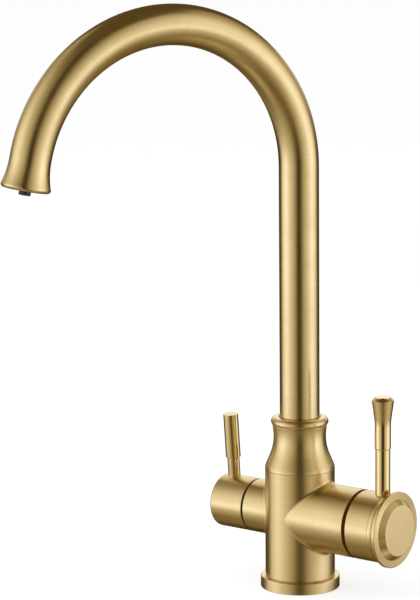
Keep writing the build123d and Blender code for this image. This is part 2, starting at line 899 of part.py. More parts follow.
def disc_driver():
    """Plastic plate on the moving disc, pushed along by the ball of the spindle."""
    plate = rod(moving_disc_radius, driver_foot_x, driver_top_x)
    ball_x = pin_x - spindle_arm
    floor_x = ball_x - spindle_ball_radius - passing_gap
    socket = rod(spindle_ball_radius + passing_gap, floor_x, driver_top_x)
    rim = driver_top_x - ball_x
    funnel = Pos(0, 0, ball_x + rim / 2) * Cone(
        spindle_ball_radius + passing_gap, spindle_ball_radius + rim, rim
    )
    return on_mixer_side(plate - [socket, funnel])


def cartridge_carrier():
    """Turning block that holds the tilt pin, slotted for the spindle."""
    block = rod(cartridge_bore_radius - running_gap, carrier_foot_x, carrier_top_x)
    middle = Pos(0, 0, (carrier_foot_x + carrier_top_x) / 2)
    slot_width = 2 * (spindle_boss_radius + running_gap)
    slot = middle * Box(2 * carrier_slot_half, slot_width, carrier_top_x - carrier_foot_x)
    pin_hole = drilling(
        tilt_pin_radius + fixed_gap,
        (0, -tilt_pin_length / 2, pin_x),
        (0, tilt_pin_length / 2, pin_x),
    )
    return on_mixer_side(block - [slot, pin_hole])


def tilt_pin():
    """Steel pin across the carrier, on which the spindle tilts."""
    reach = tilt_pin_length / 2
    return on_mixer_side(drilling(tilt_pin_radius, (0, -reach, pin_x), (0, reach, pin_x)))


def cartridge_spindle():
    """Spindle: ball and arm below the tilt pin, shaft with a screw hole above it."""
    ball_x = pin_x - spindle_arm
    spindle = Pos(0, 0, ball_x) * Sphere(spindle_ball_radius)
    spindle += rod(spindle_neck_radius, ball_x, pin_x)
    spindle += Pos(0, 0, pin_x) * Sphere(spindle_boss_radius)
    spindle += rod(spindle_radius, pin_x, spindle_end_x)
    pin_hole = drilling(
        tilt_pin_radius + running_gap,
        (0, -spindle_boss_radius, pin_x),
        (0, spindle_boss_radius, pin_x),
    )
    screw_hole = rod(
        hub_screw_radius + fixed_gap,
        screw_seat_x - hub_screw_reach - face_gap,
        spindle_end_x,
    )
    return on_mixer_side(spindle - [pin_hole, screw_hole])


def cartridge_nut():
    """Slotted brass nut that clamps the cartridge."""
    nut = sleeve(nut_radius, nut_radius - nut_wall, shell_top_x, nut_top_x)
    slots = [
        turn * Pos(nut_radius - nut_wall / 2, 0, nut_top_x)
        * Box(2 * nut_wall, nut_slot_width, 2 * nut_slot_depth)
        for turn in PolarLocations(0, 4)
    ]
    return on_mixer_side(nut - slots)


def cartridge_dome():
    """Round shield in the mouth of the housing, which the skirt of the hub swings over."""
    pivot = (0, pin_x)
    inner_radius = dome_radius - dome_wall
    spigot_inner = nut_radius - dome_spigot_wall
    boss_angle = degrees(asin(hub_boss_radius / inner_radius))
    mouth_angle = 90 - (flow_tilt + boss_angle + dome_margin)
    rim_angle = degrees(asin((mixer_rim_x - pin_x) / dome_radius))
    spigot_angle = degrees(atan2(sqrt(inner_radius**2 - spigot_inner**2), spigot_inner))
    outer_mouth = arc_point(pivot, dome_radius, mouth_angle)
    inner_mouth = arc_point(pivot, inner_radius, mouth_angle)
    outer_foot = arc_point(pivot, dome_radius, rim_angle)
    inner_foot = arc_point(pivot, inner_radius, spigot_angle)
    shield = turned(
        bend(
            outer_foot,
            arc_point(pivot, dome_radius, (rim_angle + mouth_angle) / 2),
            outer_mouth,
        ),
        side(outer_mouth, inner_mouth),
        bend(
            inner_mouth,
            arc_point(pivot, inner_radius, (spigot_angle + mouth_angle) / 2),
            inner_foot,
        ),
        side(
            inner_foot,
            (spigot_inner, nut_top_x),
            (nut_radius, nut_top_x),
            (nut_radius, mixer_rim_x),
            outer_foot,
        ),
    )
    return on_mixer_side(shield)


# ---------------------------------------------------------------- mixer hub and lever
def hub_outline():
    """Outside of the mixer hub from its back edge to the flange."""
    groove_x = hub_back_x + hub_groove_place
    groove_radius = hub_radius - hub_groove_depth
    flare_start_x = hub_back_x + hub_flare_start
    flare_end_x = hub_back_x + hub_flare_end
    flange_radius = hub_radius + flange_lip
    rise = flare_end_x - flare_start_x
    radius = (rise**2 + flange_lip**2) / (2 * flange_lip)
    centre = (hub_radius + radius, flare_start_x)
    angle = degrees(asin(rise / radius))
    return [
        side(
            (0, hub_back_x),
            (hub_radius - rim_chamfer, hub_back_x),
            (hub_radius, hub_back_x + rim_chamfer),
            (hub_radius, groove_x),
            (groove_radius, groove_x),
            (groove_radius, groove_x + hub_groove_width),
            (hub_radius, groove_x + hub_groove_width),
            (hub_radius, flare_start_x),
        ),
        bend(
            (hub_radius, flare_start_x),
            arc_point(centre, radius, 180 - angle / 2),
            (flange_radius, flare_end_x),
        ),
        side(
            (flange_radius, flare_end_x),
            (flange_radius, flange_front_x - flange_edge),
            (flange_radius - flange_edge, flange_front_x),
            (0, flange_front_x),
            (0, hub_back_x),
        ),
    ]


def lever_socket(seat_radius, stem_radius, thread_radius, thread_length, place_x):
    """Counterbore and threaded hole for a lever, drawn on local Z with up as -X."""
    floor = seat_radius - stem_seat_depth
    seat = drilling(stem_radius + fixed_gap, (-floor, 0, place_x), (-2 * seat_radius, 0, place_x))
    thread = drilling(
        thread_radius + fixed_gap,
        (thread_length - floor + fixed_gap, 0, place_x),
        (-floor, 0, place_x),
    )
    return [seat, thread]


def mixer_hub():
    """Handle hub: skirt that swings over the dome, boss on the spindle and front flange."""
    blank = turned(*hub_outline())
    cavity = Pos(0, 0, pin_x) * Sphere(cavity_radius)
    boss = rod(hub_boss_radius, pin_x + hub_boss_reach, pin_x + cavity_radius)
    hub = blank - cavity + boss
    cuts = [
        rod(spindle_radius + fixed_gap, hub_back_x, spindle_end_x + fixed_gap),
        rod(hub_screw_radius + fixed_gap, spindle_end_x, screw_seat_x),
        rod(hub_screw_head_radius + fixed_gap, screw_seat_x, cap_floor_x),
        rod(cap_spigot_radius + fixed_gap, cap_floor_x, flange_front_x),
        *lever_socket(
            hub_radius, mixer_stem_radius, mixer_thread_radius, mixer_thread_length, mixer_lever_x
        ),
    ]
    return on_mixer_side(hub - cuts)


def mixer_hub_screw():
    """Socket screw that draws the hub onto the spindle, under the cap."""
    head_top = screw_seat_x + hub_screw_head_height - fixed_gap
    screw = rod(hub_screw_radius, screw_seat_x - hub_screw_reach, screw_seat_x)
    screw += rod(hub_screw_head_radius, screw_seat_x, head_top)
    socket = hexagon_socket(
        hub_screw_head_radius / 2, head_top - hub_screw_head_height / 2, head_top
    )
    return on_mixer_side(screw - socket)


def mixer_end_cap():
    """Raised cap with sloping sides, pressed into the front of the hub."""
    face_x = flange_front_x + cap_height
    back_x = cap_floor_x + face_gap
    edge = (cap_face_radius - cap_edge, face_x - cap_edge)
    edge_start = arc_point(edge, cap_edge, 0)
    edge_end = arc_point(edge, cap_edge, 90)
    cap = turned(
        side(
            (0, back_x),
            (cap_spigot_radius, back_x),
            (cap_spigot_radius, flange_front_x),
            (cap_foot_radius, flange_front_x),
            edge_start,
        ),
        bend(edge_start, arc_point(edge, cap_edge, 45), edge_end),
        side(edge_end, (0, face_x), (0, back_x)),
    )
    room = rod(cap_spigot_radius - cap_shell, back_x, face_x - cap_shell)
    return on_mixer_side(cap - room)


def on_mixer_lever(shape):
    """Stand a piece on the mixer lever's axis, with height 0 on the valve axis."""
    return Pos(mixer_lever_x, 0, valve_axis) * shape


def mixer_lever_stem():
    """Lower part of the mixer lever, threaded into the hub and into the knob."""
    seat = hub_radius - stem_seat_depth
    top = hub_radius + mixer_stem_length
    stem = rod(mixer_stem_radius, seat, top)
    stem += rod(mixer_thread_radius, seat - mixer_thread_length, seat)
    stem += rod(knob_spigot_radius, top, top + knob_spigot_length)
    return on_mixer_lever(stem)


def mixer_lever_knob():
    """Upper part of the mixer lever: straight, then flaring to a crowned top."""
    foot = hub_radius + mixer_stem_length
    straight_end = foot + mixer_knob_straight
    widest = foot + mixer_knob_length - mixer_knob_crown
    top = foot + mixer_knob_length
    centre = (mixer_knob_radius + mixer_knob_arc, straight_end)
    arc_end = arc_point(centre, mixer_knob_arc, 180 - mixer_knob_flare)
    wide_radius = arc_end[0] + tan(radians(mixer_knob_flare)) * (widest - arc_end[1])
    knob = turned(
        side(
            (0, foot),
            (mixer_knob_radius - rim_chamfer, foot),
            (mixer_knob_radius, foot + rim_chamfer),
            (mixer_knob_radius, straight_end),
        ),
        bend(
            (mixer_knob_radius, straight_end),
            arc_point(centre, mixer_knob_arc, 180 - mixer_knob_flare / 2),
            arc_end,
        ),
        side(
            arc_end,
            (wide_radius, widest),
            (mixer_knob_top_radius, top - mixer_knob_step),
            (mixer_knob_top_radius, top),
            (0, top),
            (0, foot),
        ),
    )
    hole = rod(knob_spigot_radius + fixed_gap, foot, foot + knob_spigot_length + fixed_gap)
    return on_mixer_lever(knob - hole)


# ---------------------------------------------------------------- filter valve
def filter_valve_seal():
    """Rubber ring between the headwork and its seat."""
    inner = filter_valve_radius - filter_seal_width
    return on_filter_side(sleeve(filter_valve_radius, inner, filter_seat_x, filter_shell_foot_x))


def filter_disc(radius, start, end, port_turn):
    """Ceramic disc with two opposite ports."""
    disc = rod(radius, start, end)
    ports = [
        Rot(0, 0, port_turn) * Pos(hand * filter_port_offset, 0, 0)
        * rod(filter_port_radius, start, end)
        for hand in (-1, 1)
    ]
    return disc - ports


def filter_fixed_disc():
    """Ceramic disc held still in the headwork, its ports above and below the axis."""
    radius = filter_chamber_radius - fixed_gap
    return on_filter_side(filter_disc(radius, filter_shell_foot_x, filter_fixed_top_x, 0))


def filter_moving_disc():
    """Ceramic disc turned by the spindle, its ports level while the valve is shut."""
    radius = filter_chamber_radius - running_gap
    disc = filter_disc(radius, filter_moving_foot_x, filter_moving_top_x, 90)
    return leaning(on_filter_side(disc))


def filter_valve_shell():
    """Brass headwork with side windows and a flange that bears in the housing."""
    shell = rod(filter_valve_radius, filter_shell_foot_x, filter_flange_foot_x)
    shell += rod(filter_flange_radius, filter_flange_foot_x, filter_flange_top_x)
    chamber = rod(filter_chamber_radius, filter_shell_foot_x, filter_foot_top_x + face_gap)
    bearing = rod(
        filter_spindle_radius + running_gap, filter_shell_foot_x, filter_flange_top_x
    )
    reach = 2 * filter_valve_radius
    windows = drilling(
        filter_window_radius, (-reach, 0, filter_window_x), (reach, 0, filter_window_x)
    )
    return on_filter_side(shell - [chamber, bearing, windows])


def filter_spindle():
    """Spindle of the filter valve: foot on the moving disc, bearing and spline."""
    foot_radius_inside = filter_chamber_radius - running_gap
    spindle = rod(foot_radius_inside, filter_moving_top_x, filter_foot_top_x)
    spindle += rod(filter_spindle_radius, filter_foot_top_x, clip_top_x)
    spindle += rod(filter_spline_radius, clip_top_x, filter_spindle_end_x)
    ring_space = filter_ring_radius + fixed_gap
    ring_x = filter_foot_top_x + filter_ring_place
    ring_groove = sleeve(
        filter_spindle_radius,
        filter_spindle_radius - 2 * filter_ring_radius,
        ring_x - ring_space,
        ring_x + ring_space,
    )
    clip_groove = sleeve(
        filter_spindle_radius,
        filter_spindle_radius - clip_groove_depth - fixed_gap,
        clip_foot_x - fixed_gap,
        clip_top_x,
    )
    return leaning(on_filter_side(spindle - [ring_groove, clip_groove]))


def filter_spindle_ring():
    """O-ring on the filter spindle."""
    middle = filter_spindle_radius + fixed_gap - filter_ring_radius
    ring_x = filter_foot_top_x + filter_ring_place
    return leaning(on_filter_side(ring(middle, filter_ring_radius, ring_x)))


def filter_spindle_clip():
    """Open spring clip that keeps the spindle in the headwork."""
    inner = filter_spindle_radius - clip_groove_depth
    clip = sleeve(inner + clip_width, inner, clip_foot_x, clip_top_x - fixed_gap)
    mouth = Pos(inner + clip_width / 2, 0, (clip_foot_x + clip_top_x) / 2) * Box(
        2 * clip_width, clip_mouth, 2 * clip_thickness
    )
    return leaning(on_filter_side(clip - mouth))


def filter_glide_ring():
    """Plastic ring in the mouth of the housing, with a flange in the gap behind the hub."""
    outer = filter_mouth_radius - fixed_gap
    inner = outer - glide_ring_wall
    front = filter_hub_back_x - face_gap
    flange = sleeve(filter_housing_radius - glide_flange_inset, inner, filter_rim_x, front)
    spigot = sleeve(outer, inner, filter_rim_x - glide_ring_depth, filter_rim_x)
    return on_filter_side(flange + spigot)


# ---------------------------------------------------------------- filter hub and lever
def filter_hub():
    """Round handle hub of the filter valve."""
    rounding = (filter_housing_radius - filter_hub_edge, filter_hub_end_x - filter_hub_edge)
    blank = turned(
        side(
            (0, filter_hub_back_x),
            (filter_housing_radius - rim_chamfer, filter_hub_back_x),
            (filter_housing_radius, filter_hub_back_x + rim_chamfer),
            arc_point(rounding, filter_hub_edge, 0),
        ),
        bend(
            arc_point(rounding, filter_hub_edge, 0),
            arc_point(rounding, filter_hub_edge, 45),
            arc_point(rounding, filter_hub_edge, 90),
        ),
        side(
            arc_point(rounding, filter_hub_edge, 90),
            (0, filter_hub_end_x),
            (0, filter_hub_back_x),
        ),
    )
    recess_x = filter_hub_back_x + filter_hub_recess
    cuts = [
        rod(filter_housing_radius - filter_hub_wall, filter_hub_back_x, recess_x),
        rod(filter_spline_radius + fixed_gap, filter_hub_back_x, filter_spindle_end_x + fixed_gap),
        *lever_socket(
            filter_housing_radius,
            filter_stem_radius,
            filter_thread_radius,
            filter_thread_length,
            filter_lever_x,
        ),
        drilling(
            grub_radius + fixed_gap,
            (0, 0, filter_grub_x),
            (2 * filter_housing_radius, 0, filter_grub_x),
        ),
    ]
    return leaning(on_filter_side(blank - cuts))


def filter_grub_screw():
    """Screw under the hub that grips the spindle."""
    end = filter_housing_radius - grub_set_back
    screw = rod(grub_radius, filter_spline_radius + fixed_gap, end)
    socket = hexagon_socket(grub_socket_radius, end - grub_socket_depth, end)
    placed = Pos(0, 0, filter_grub_x) * Rot(0, 90, 0) * (screw - socket)
    return leaning(on_filter_side(placed))


def on_filter_lever(shape):
    """Stand a piece on the filter lever's axis, with height 0 on the valve axis."""
    return leaning(Pos(-filter_lever_x, 0, valve_axis) * shape)


def filter_lever_stem():
    """Lower part of the filter lever, threaded into the hub and into the knob."""
    seat = filter_housing_radius - stem_seat_depth
    top = filter_housing_radius + filter_stem_length
    stem = rod(filter_stem_radius, seat, top)
    stem += rod(filter_thread_radius, seat - filter_thread_length, seat)
    stem += rod(filter_knob_spigot_radius, top, top + knob_spigot_length)
    return on_filter_lever(stem)


def filter_lever_knob():
    """Upper part of the filter lever."""
    foot = filter_housing_radius + filter_stem_length
    knob = chamfered_rod(
        filter_knob_radius,
        foot,
        foot + filter_knob_length,
        filter_knob_chamfer,
        filter_knob_edge,
    )
    hole = rod(filter_knob_spigot_radius + fixed_gap, foot, foot + knob_spigot_length + fixed_gap)
    return on_filter_lever(knob - hole)


# ---------------------------------------------------------------- the whole tap
def pieces():
    """Every piece of the tap by name."""
    return {
        "base_ring": base_ring(),
        "base_seal": base_seal(),
        "valve_body": valve_body(),
        "neck_bonnet": neck_bonnet(),
        "lower_swivel_washer": swivel_washer(neck_top),
        "upper_swivel_washer": swivel_washer(tube_foot + face_gap),
        "collar_bush": collar_bush(),
        "riser_fitting": riser_fitting(),
        "riser_o_ring": riser_o_ring(),
        "spout_tube": spout_tube(),
        "spout_spigot": spout_spigot(),
        "spigot_o_rings": spigot_o_rings(),
        "filtered_water_tube": filtered_water_tube(),
        "aerator_housing": aerator_housing(),
        "aerator_core": aerator_core(),
        "aerator_seal": aerator_seal(),
        "filtered_nozzle": filtered_nozzle(),
        "cartridge_base": cartridge_base(),
        "cartridge_port_seals": cartridge_port_seals(),
        "fixed_ceramic_disc": fixed_ceramic_disc(),
        "cartridge_shell": cartridge_shell(),
        "cartridge_nut": cartridge_nut(),
        "cartridge_dome": cartridge_dome(),
        "moving_ceramic_disc": moving_ceramic_disc(),
        "disc_driver": disc_driver(),
        "cartridge_carrier": cartridge_carrier(),
        "tilt_pin": tilt_pin(),
        "cartridge_spindle": cartridge_spindle(),
        "mixer_hub": mixer_hub(),
        "mixer_hub_screw": mixer_hub_screw(),
        "mixer_end_cap": mixer_end_cap(),
        "mixer_lever_stem": mixer_lever_stem(),
        "mixer_lever_knob": mixer_lever_knob(),
        "filter_valve_seal": filter_valve_seal(),
        "filter_fixed_disc": filter_fixed_disc(),
        "filter_valve_shell": filter_valve_shell(),
        "filter_glide_ring": filter_glide_ring(),
        "filter_moving_disc": filter_moving_disc(),
        "filter_spindle": filter_spindle(),
        "filter_spindle_ring": filter_spindle_ring(),
        "filter_spindle_clip": filter_spindle_clip(),
        "filter_hub": filter_hub(),
        "filter_grub_screw": filter_grub_screw(),
        "filter_lever_stem": filter_lever_stem(),
        "filter_lever_knob": filter_lever_knob(),
    }


os.makedirs("parts", exist_ok=True)
for name, shape in pieces().items():
    export_step(shape, f"parts/{name}.step")
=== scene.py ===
import logging
import math
from dataclasses import dataclass
from enum import Enum
from typing import Callable

import bmesh
import bpy
from mathutils import Matrix, Quaternion, Vector


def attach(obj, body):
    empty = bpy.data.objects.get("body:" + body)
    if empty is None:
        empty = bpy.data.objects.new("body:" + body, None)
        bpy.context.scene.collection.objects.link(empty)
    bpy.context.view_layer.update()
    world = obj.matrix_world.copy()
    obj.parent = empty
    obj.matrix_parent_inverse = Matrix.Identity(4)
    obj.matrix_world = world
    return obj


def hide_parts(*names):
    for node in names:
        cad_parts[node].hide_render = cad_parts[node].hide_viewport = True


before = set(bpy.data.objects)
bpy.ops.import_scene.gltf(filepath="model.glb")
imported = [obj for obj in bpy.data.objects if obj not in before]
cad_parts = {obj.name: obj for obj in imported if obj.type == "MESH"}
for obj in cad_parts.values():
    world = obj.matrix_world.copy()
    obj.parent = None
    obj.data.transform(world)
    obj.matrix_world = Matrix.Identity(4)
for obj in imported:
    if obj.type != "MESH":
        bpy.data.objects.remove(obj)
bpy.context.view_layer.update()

# Dress and studio of a swan-neck kitchen tap in brushed gold.
#
# Sizes are written in millimetres and made metres by MM. Turned pieces are drawn as a half section
# of (radius, height) corners about a local Z axis and then laid on the axis that they turn about.
# A finish changes over the surface by the place on the object, so it rides with each piece.

LOG = logging.getLogger("tap")
MM = 0.001
UV_NAME = "turning"
SHARP_ANGLE = 40.0  # degrees between faces from which an edge stays sharp
POLE_RADIUS = 1e-6  # millimetres under which a ring is one vertex
ROUNDING_STEPS = 4
ROUNDING_LIMIT = 0.42  # share of a side that the rounding of its corner may take
GUARD_SHARE = 0.04  # share of a side between its rounding and the line that holds it flat
GUARD_LIMIT = 0.3  # millimetres that this line lies off at most
WALL_CLOSENESS = 2e-6  # metres from a turned wall within which a point is on it
DOME_TOP = 90  # degrees above the level and below it that the stops by height cover
HALF_TURN = 180  # degrees

Colour = tuple[float, float, float]
Pair = tuple[float, float]
Stops = tuple[Pair, ...]
Mesh = bpy.types.Mesh
Material = bpy.types.Material
Socket = bpy.types.NodeSocket
Tree = bpy.types.NodeTree

LINE_CONTRAST: Pair = (0.3, 0.7)  # levels of noise that become 0 and 1 in the brushed lines
CLOUD_CONTRAST: Pair = (0.32, 0.68)  # the same for the slow changes


# ---------------------------------------------------------------- where pieces turn
@dataclass(frozen=True)
class Places:
    """Where the axes of the tap lie, in millimetres and degrees."""

    valve_axis: float = 47.2
    mixer_lever_x: float = 63.1
    filter_lever_x: float = 50.5
    filter_lever_lean: float = 5.0
    swivel_turn: float = -113.0


PLACES = Places()


class TurningAxis(Enum):
    """The axes that the turned pieces are laid on."""

    COLUMN = "column"
    MIXER_VALVE = "mixer_valve"
    FILTER_VALVE = "filter_valve"
    MIXER_LEVER = "mixer_lever"
    FILTER_LEVER = "filter_lever"
    SPOUT = "spout"

    def matrix(self) -> Matrix:
        """Placement that takes the local Z axis to this axis.

        Returns:
            A four by four matrix in metres.
        """
        rise = Matrix.Translation((0, 0, PLACES.valve_axis * MM))
        along = rise @ Matrix.Rotation(math.radians(90), 4, "Y")
        lean = (
            rise
            @ Matrix.Rotation(math.radians(PLACES.filter_lever_lean), 4, "X")
            @ rise.inverted()
        )
        if self is TurningAxis.MIXER_VALVE:
            return along
        if self is TurningAxis.FILTER_VALVE:
            return lean @ Matrix.Rotation(math.radians(180), 4, "Z") @ along
        if self is TurningAxis.MIXER_LEVER:
            return Matrix.Translation((PLACES.mixer_lever_x * MM, 0, 0)) @ rise
        if self is TurningAxis.FILTER_LEVER:
            return lean @ Matrix.Translation((-PLACES.filter_lever_x * MM, 0, 0)) @ rise
        return Matrix.Identity(4)


# ---------------------------------------------------------------- half sections
@dataclass(frozen=True)
class Corner:
    """Corner of a half section, in millimetres, with the rounding of its edge."""

    radius: float
    height: float
    rounding: float = 0.0


def arc(centre: Pair, radius: float, start: float, end: float, steps: int) -> list[Corner]:
    """Corners along an arc of a half section.

    Args:
        centre: Middle of the arc, as radius and height.
        radius: Radius of the arc.
        start: First angle in degrees, measured from outwards.
        end: Last angle in degrees.
        steps: How many equal steps the arc has.

    Returns:
        The corners from start to end, both included.
    """
    angles = [math.radians(start + (end - start) * step / steps) for step in range(steps + 1)]
    return [
        Corner(centre[0] + radius * math.cos(a), centre[1] + radius * math.sin(a)) for a in angles
    ]


def flare_arc(rise: float, step: float) -> Pair:
    """Arc that leaves a wall without a bend and steps outwards.

    Args:
        rise: Height of the flare.
        step: How far it goes out.

    Returns:
        Radius of the arc and its sweep in degrees.
    """
    radius = (rise**2 + step**2) / (2 * step)
    return radius, math.degrees(math.asin(rise / radius))


def softened(corners: list[Corner], closed: bool) -> list[Pair]:
    """Round the corners of a half section that ask for it.

    Args:
        corners: The half section, in order.
        closed: True if the last corner joins the first.

    Returns:
        The points of the finished half section.
    """
    points: list[Pair] = []
    count = len(corners)
    for index, corner in enumerate(corners):
        here = Vector((corner.radius, corner.height))
        inside = closed or 0 < index < count - 1
        if corner.rounding <= 0 or not inside:
            points.append((here.x, here.y))
            continue
        before, after = corners[index - 1], corners[(index + 1) % count]
        back = Vector((before.radius, before.height)) - here
        ahead = Vector((after.radius, after.height)) - here
        half = back.angle(ahead) / 2
        room = ROUNDING_LIMIT * min(back.length, ahead.length)
        reach = min(corner.rounding / math.tan(half), room)
        guards = [reach + min(GUARD_SHARE * way.length, GUARD_LIMIT) for way in (back, ahead)]
        back.normalize()
        ahead.normalize()
        radius = reach * math.tan(half)
        middle = here + (back + ahead).normalized() * (radius / math.sin(half))
        first, last = here + back * reach - middle, here + ahead * reach - middle
        sweep = first.angle_signed(last)
        parts = [step / ROUNDING_STEPS for step in range(ROUNDING_STEPS + 1)]
        turns = [Matrix.Rotation(-sweep * part, 2) for part in parts]
        spots = [here + back * guards[0], *(middle + turn @ first for turn in turns)]
        points += [(spot.x, spot.y) for spot in (*spots, here + ahead * guards[1])]
    return points


def divided(points: list[Pair], longest: float, closed: bool) -> list[Pair]:
    """Split long sides of a half section so that none is longer than a length.

    Args:
        points: The half section.
        longest: The longest side allowed, in millimetres.
        closed: True if the last point joins the first.

    Returns:
        The half section with the added points.
    """
    made: list[Pair] = []
    pairs = list(zip(points, points[1:] + points[:1])) if closed else list(zip(points, points[1:]))
    for (r0, h0), (r1, h1) in pairs:
        parts = max(1, math.ceil(math.hypot(r1 - r0, h1 - h0) / longest))
        made += [(r0 + (r1 - r0) * i / parts, h0 + (h1 - h0) * i / parts) for i in range(parts)]
    return made if closed else made + [points[-1]]


@dataclass
class Turning:
    """A piece turned from a half section."""

    name: str
    corners: list[Corner]
    axis: TurningAxis
    segments: int = 160
    closed: bool = True
    longest: float = math.inf

    def mesh(self) -> Mesh:
        """Turn the half section about its axis.

        Returns:
            The mesh in metres, on its axis, smooth with a turning UV map.
        """
        points = divided(softened(self.corners, self.closed), self.longest, self.closed)
        build = bmesh.new()
        uv = build.loops.layers.uv.new(UV_NAME)
        rings = [self._ring(build, point) for point in points]
        along = [0.0]
        for (r0, h0), (r1, h1) in zip(points, points[1:] + points[:1]):
            along.append(along[-1] + math.hypot(r1 - r0, h1 - h0))
        for index in range(len(points) if self.closed else len(points) - 1):
            after = (index + 1) % len(points)
            places = (along[index] / along[-1], along[index + 1] / along[-1])
            self._band(build, uv, rings[index], rings[after], places)
        bmesh.ops.recalc_face_normals(build, faces=build.faces)
        mesh = bpy.data.meshes.new(self.name)
        build.to_mesh(mesh)
        build.free()
        mesh.transform(self.axis.matrix() @ Matrix.Scale(MM, 4))
        shade_smooth(mesh)
        return mesh

    def _ring(self, build: bmesh.types.BMesh, point: Pair) -> list[bmesh.types.BMVert]:
        """Vertices of one ring, or the one vertex of a pole.

        Args:
            build: The mesh being made.
            point: Radius and height of the ring.

        Returns:
            The vertices.
        """
        radius, height = point
        if radius < POLE_RADIUS:
            return [build.verts.new((0, 0, height))]
        turns = [math.tau * step / self.segments for step in range(self.segments)]
        return [
            build.verts.new((radius * math.cos(t), radius * math.sin(t), height)) for t in turns
        ]

    def _band(
        self,
        build: bmesh.types.BMesh,
        uv: bmesh.types.BMLayerItem,
        low: list[bmesh.types.BMVert],
        high: list[bmesh.types.BMVert],
        places: Pair,
    ) -> None:
        """Faces between two neighbouring rings.

        Args:
            build: The mesh being made.
            uv: Its UV layer.
            low: The first ring.
            high: The second ring.
            places: Shares of the section's length at the two rings.
        """
        if len(low) == 1 and len(high) == 1:
            return
        outline = ((low, 0, 0), (low, 1, 0), (high, 1, 1), (high, 0, 1))
        for step in range(self.segments):
            steps = (step, (step + 1) % self.segments)
            turns = (step / self.segments, (step + 1) / self.segments)
            corners = [
                (ring[steps[side] % len(ring)], (turns[side], places[end]))
                for ring, side, end in outline
                if side == 0 or len(ring) > 1
            ]
            face = build.faces.new([vert for vert, _ in corners])
            for loop, (_, mark) in zip(face.loops, corners):
                loop[uv].uv = mark


def shade_smooth(mesh: Mesh) -> None:
    """Shade a mesh smooth, with its sharp edges left sharp."""
    mesh.polygons.foreach_set("use_smooth", [True] * len(mesh.polygons))
    mesh.set_sharp_from_angle(angle=math.radians(SHARP_ANGLE))


def placed(name: str, data: bpy.types.ID) -> bpy.types.Object:
    """Put a new object in the scene, at the origin.

    Args:
        name: Its name.
        data: Its mesh, camera or lamp.

    Returns:
        The object.
    """
    made = bpy.data.objects.new(name, data)
    bpy.context.scene.collection.objects.link(made)
    return made


# ---------------------------------------------------------------- node graphs
class Mix(Enum):
    """What a Mix node mixes: its setting, its two inputs and its output."""

    VALUE = ("FLOAT", 2, 3, 0)
    DIRECTION = ("VECTOR", 4, 5, 1)
    COLOUR = ("RGBA", 6, 7, 2)


class Graph:
    """A node tree with short calls for adding and joining nodes."""

    def __init__(self, tree: Tree) -> None:
        """Take over a tree."""
        self.tree = tree

    def feed(self, node: bpy.types.Node, inputs: dict) -> None:
        """Set a node's inputs, by name or number, to values or to other nodes' sockets.

        Args:
            node: The node.
            inputs: Values or sockets by input name or number.
        """
        for key, value in inputs.items():
            if isinstance(value, Socket):
                self.tree.links.new(value, node.inputs[key])
            else:
                node.inputs[key].default_value = value

    def add(self, kind: str, inputs: dict | None = None, **settings: object) -> bpy.types.Node:
        """Add a node.

        Args:
            kind: The node's type.
            inputs: Values or sockets by input name or number.
            settings: The node's own settings.

        Returns:
            The new node.
        """
        node = self.tree.nodes.new(kind)
        for name, value in settings.items():
            setattr(node, name, value)
        self.feed(node, inputs or {})
        return node

    def math(self, operation: str, *values: object, clamp: bool = False) -> Socket:
        """Join a Math node in and give its result."""
        inputs = dict(enumerate(values))
        return self.add("ShaderNodeMath", inputs, operation=operation, use_clamp=clamp).outputs[0]

    def vector(self, operation: str, *values: object) -> Socket:
        """Join a Vector Math node in and give its result, a vector or a plain value."""
        node = self.add("ShaderNodeVectorMath", dict(enumerate(values)), operation=operation)
        return node.outputs["Value" if operation in ("LENGTH", "DOT_PRODUCT") else "Vector"]

    def total(self, *values: object) -> Socket:
        """Add any number of values up.

        Args:
            values: Numbers or sockets.

        Returns:
            The sum.
        """
        made = values[0]
        for value in values[1:]:
            made = self.math("ADD", made, value)
        return made

    def mix(self, share: object, first: object, second: object, kind: Mix) -> Socket:
        """Mix two values, directions or colours and give the result.

        Args:
            share: How much of the second.
            first: What 0 gives.
            second: What 1 gives.
            kind: What is mixed.

        Returns:
            The mixture.
        """
        setting, low, high, out = kind.value
        inputs = {0: share, low: first, high: second}
        return self.add("ShaderNodeMix", inputs, data_type=setting).outputs[out]

    def share(self, value: object, low: float, high: float, soft: bool = False) -> Socket:
        """How far a value has come from one bound to another, from 0 to 1.

        Args:
            value: The value.
            low: Where the share is 0.
            high: Where the share is 1.
            soft: True if it starts and ends slowly.

        Returns:
            The share.
        """
        kind = "SMOOTHSTEP" if soft else "LINEAR"
        inputs = {0: value, 1: low, 2: high}
        return self.add("ShaderNodeMapRange", inputs, interpolation_type=kind).outputs[0]

    def parts(self, vector: object) -> tuple[Socket, ...]:
        """The x, y and z of a vector."""
        return tuple(self.add("ShaderNodeSeparateXYZ", {0: vector}).outputs)

    def joined(self, x: object, y: object, z: object) -> Socket:
        """A vector made of three values."""
        return self.add("ShaderNodeCombineXYZ", {0: x, 1: y, 2: z}).outputs[0]

    def spot(self) -> Socket:
        """Place on the object."""
        return self.add("ShaderNodeTexCoord").outputs["Object"]

    def group(self, tree: Tree, inputs: dict) -> Socket:
        """Place a shared group and give its first result."""
        return self.add("ShaderNodeGroup", inputs, node_tree=tree).outputs[0]

    def surface(self, kind: str, inputs: dict) -> None:
        """Make a shader the surface of the material."""
        self.add("ShaderNodeOutputMaterial", {0: self.add(kind, inputs).outputs[0]})


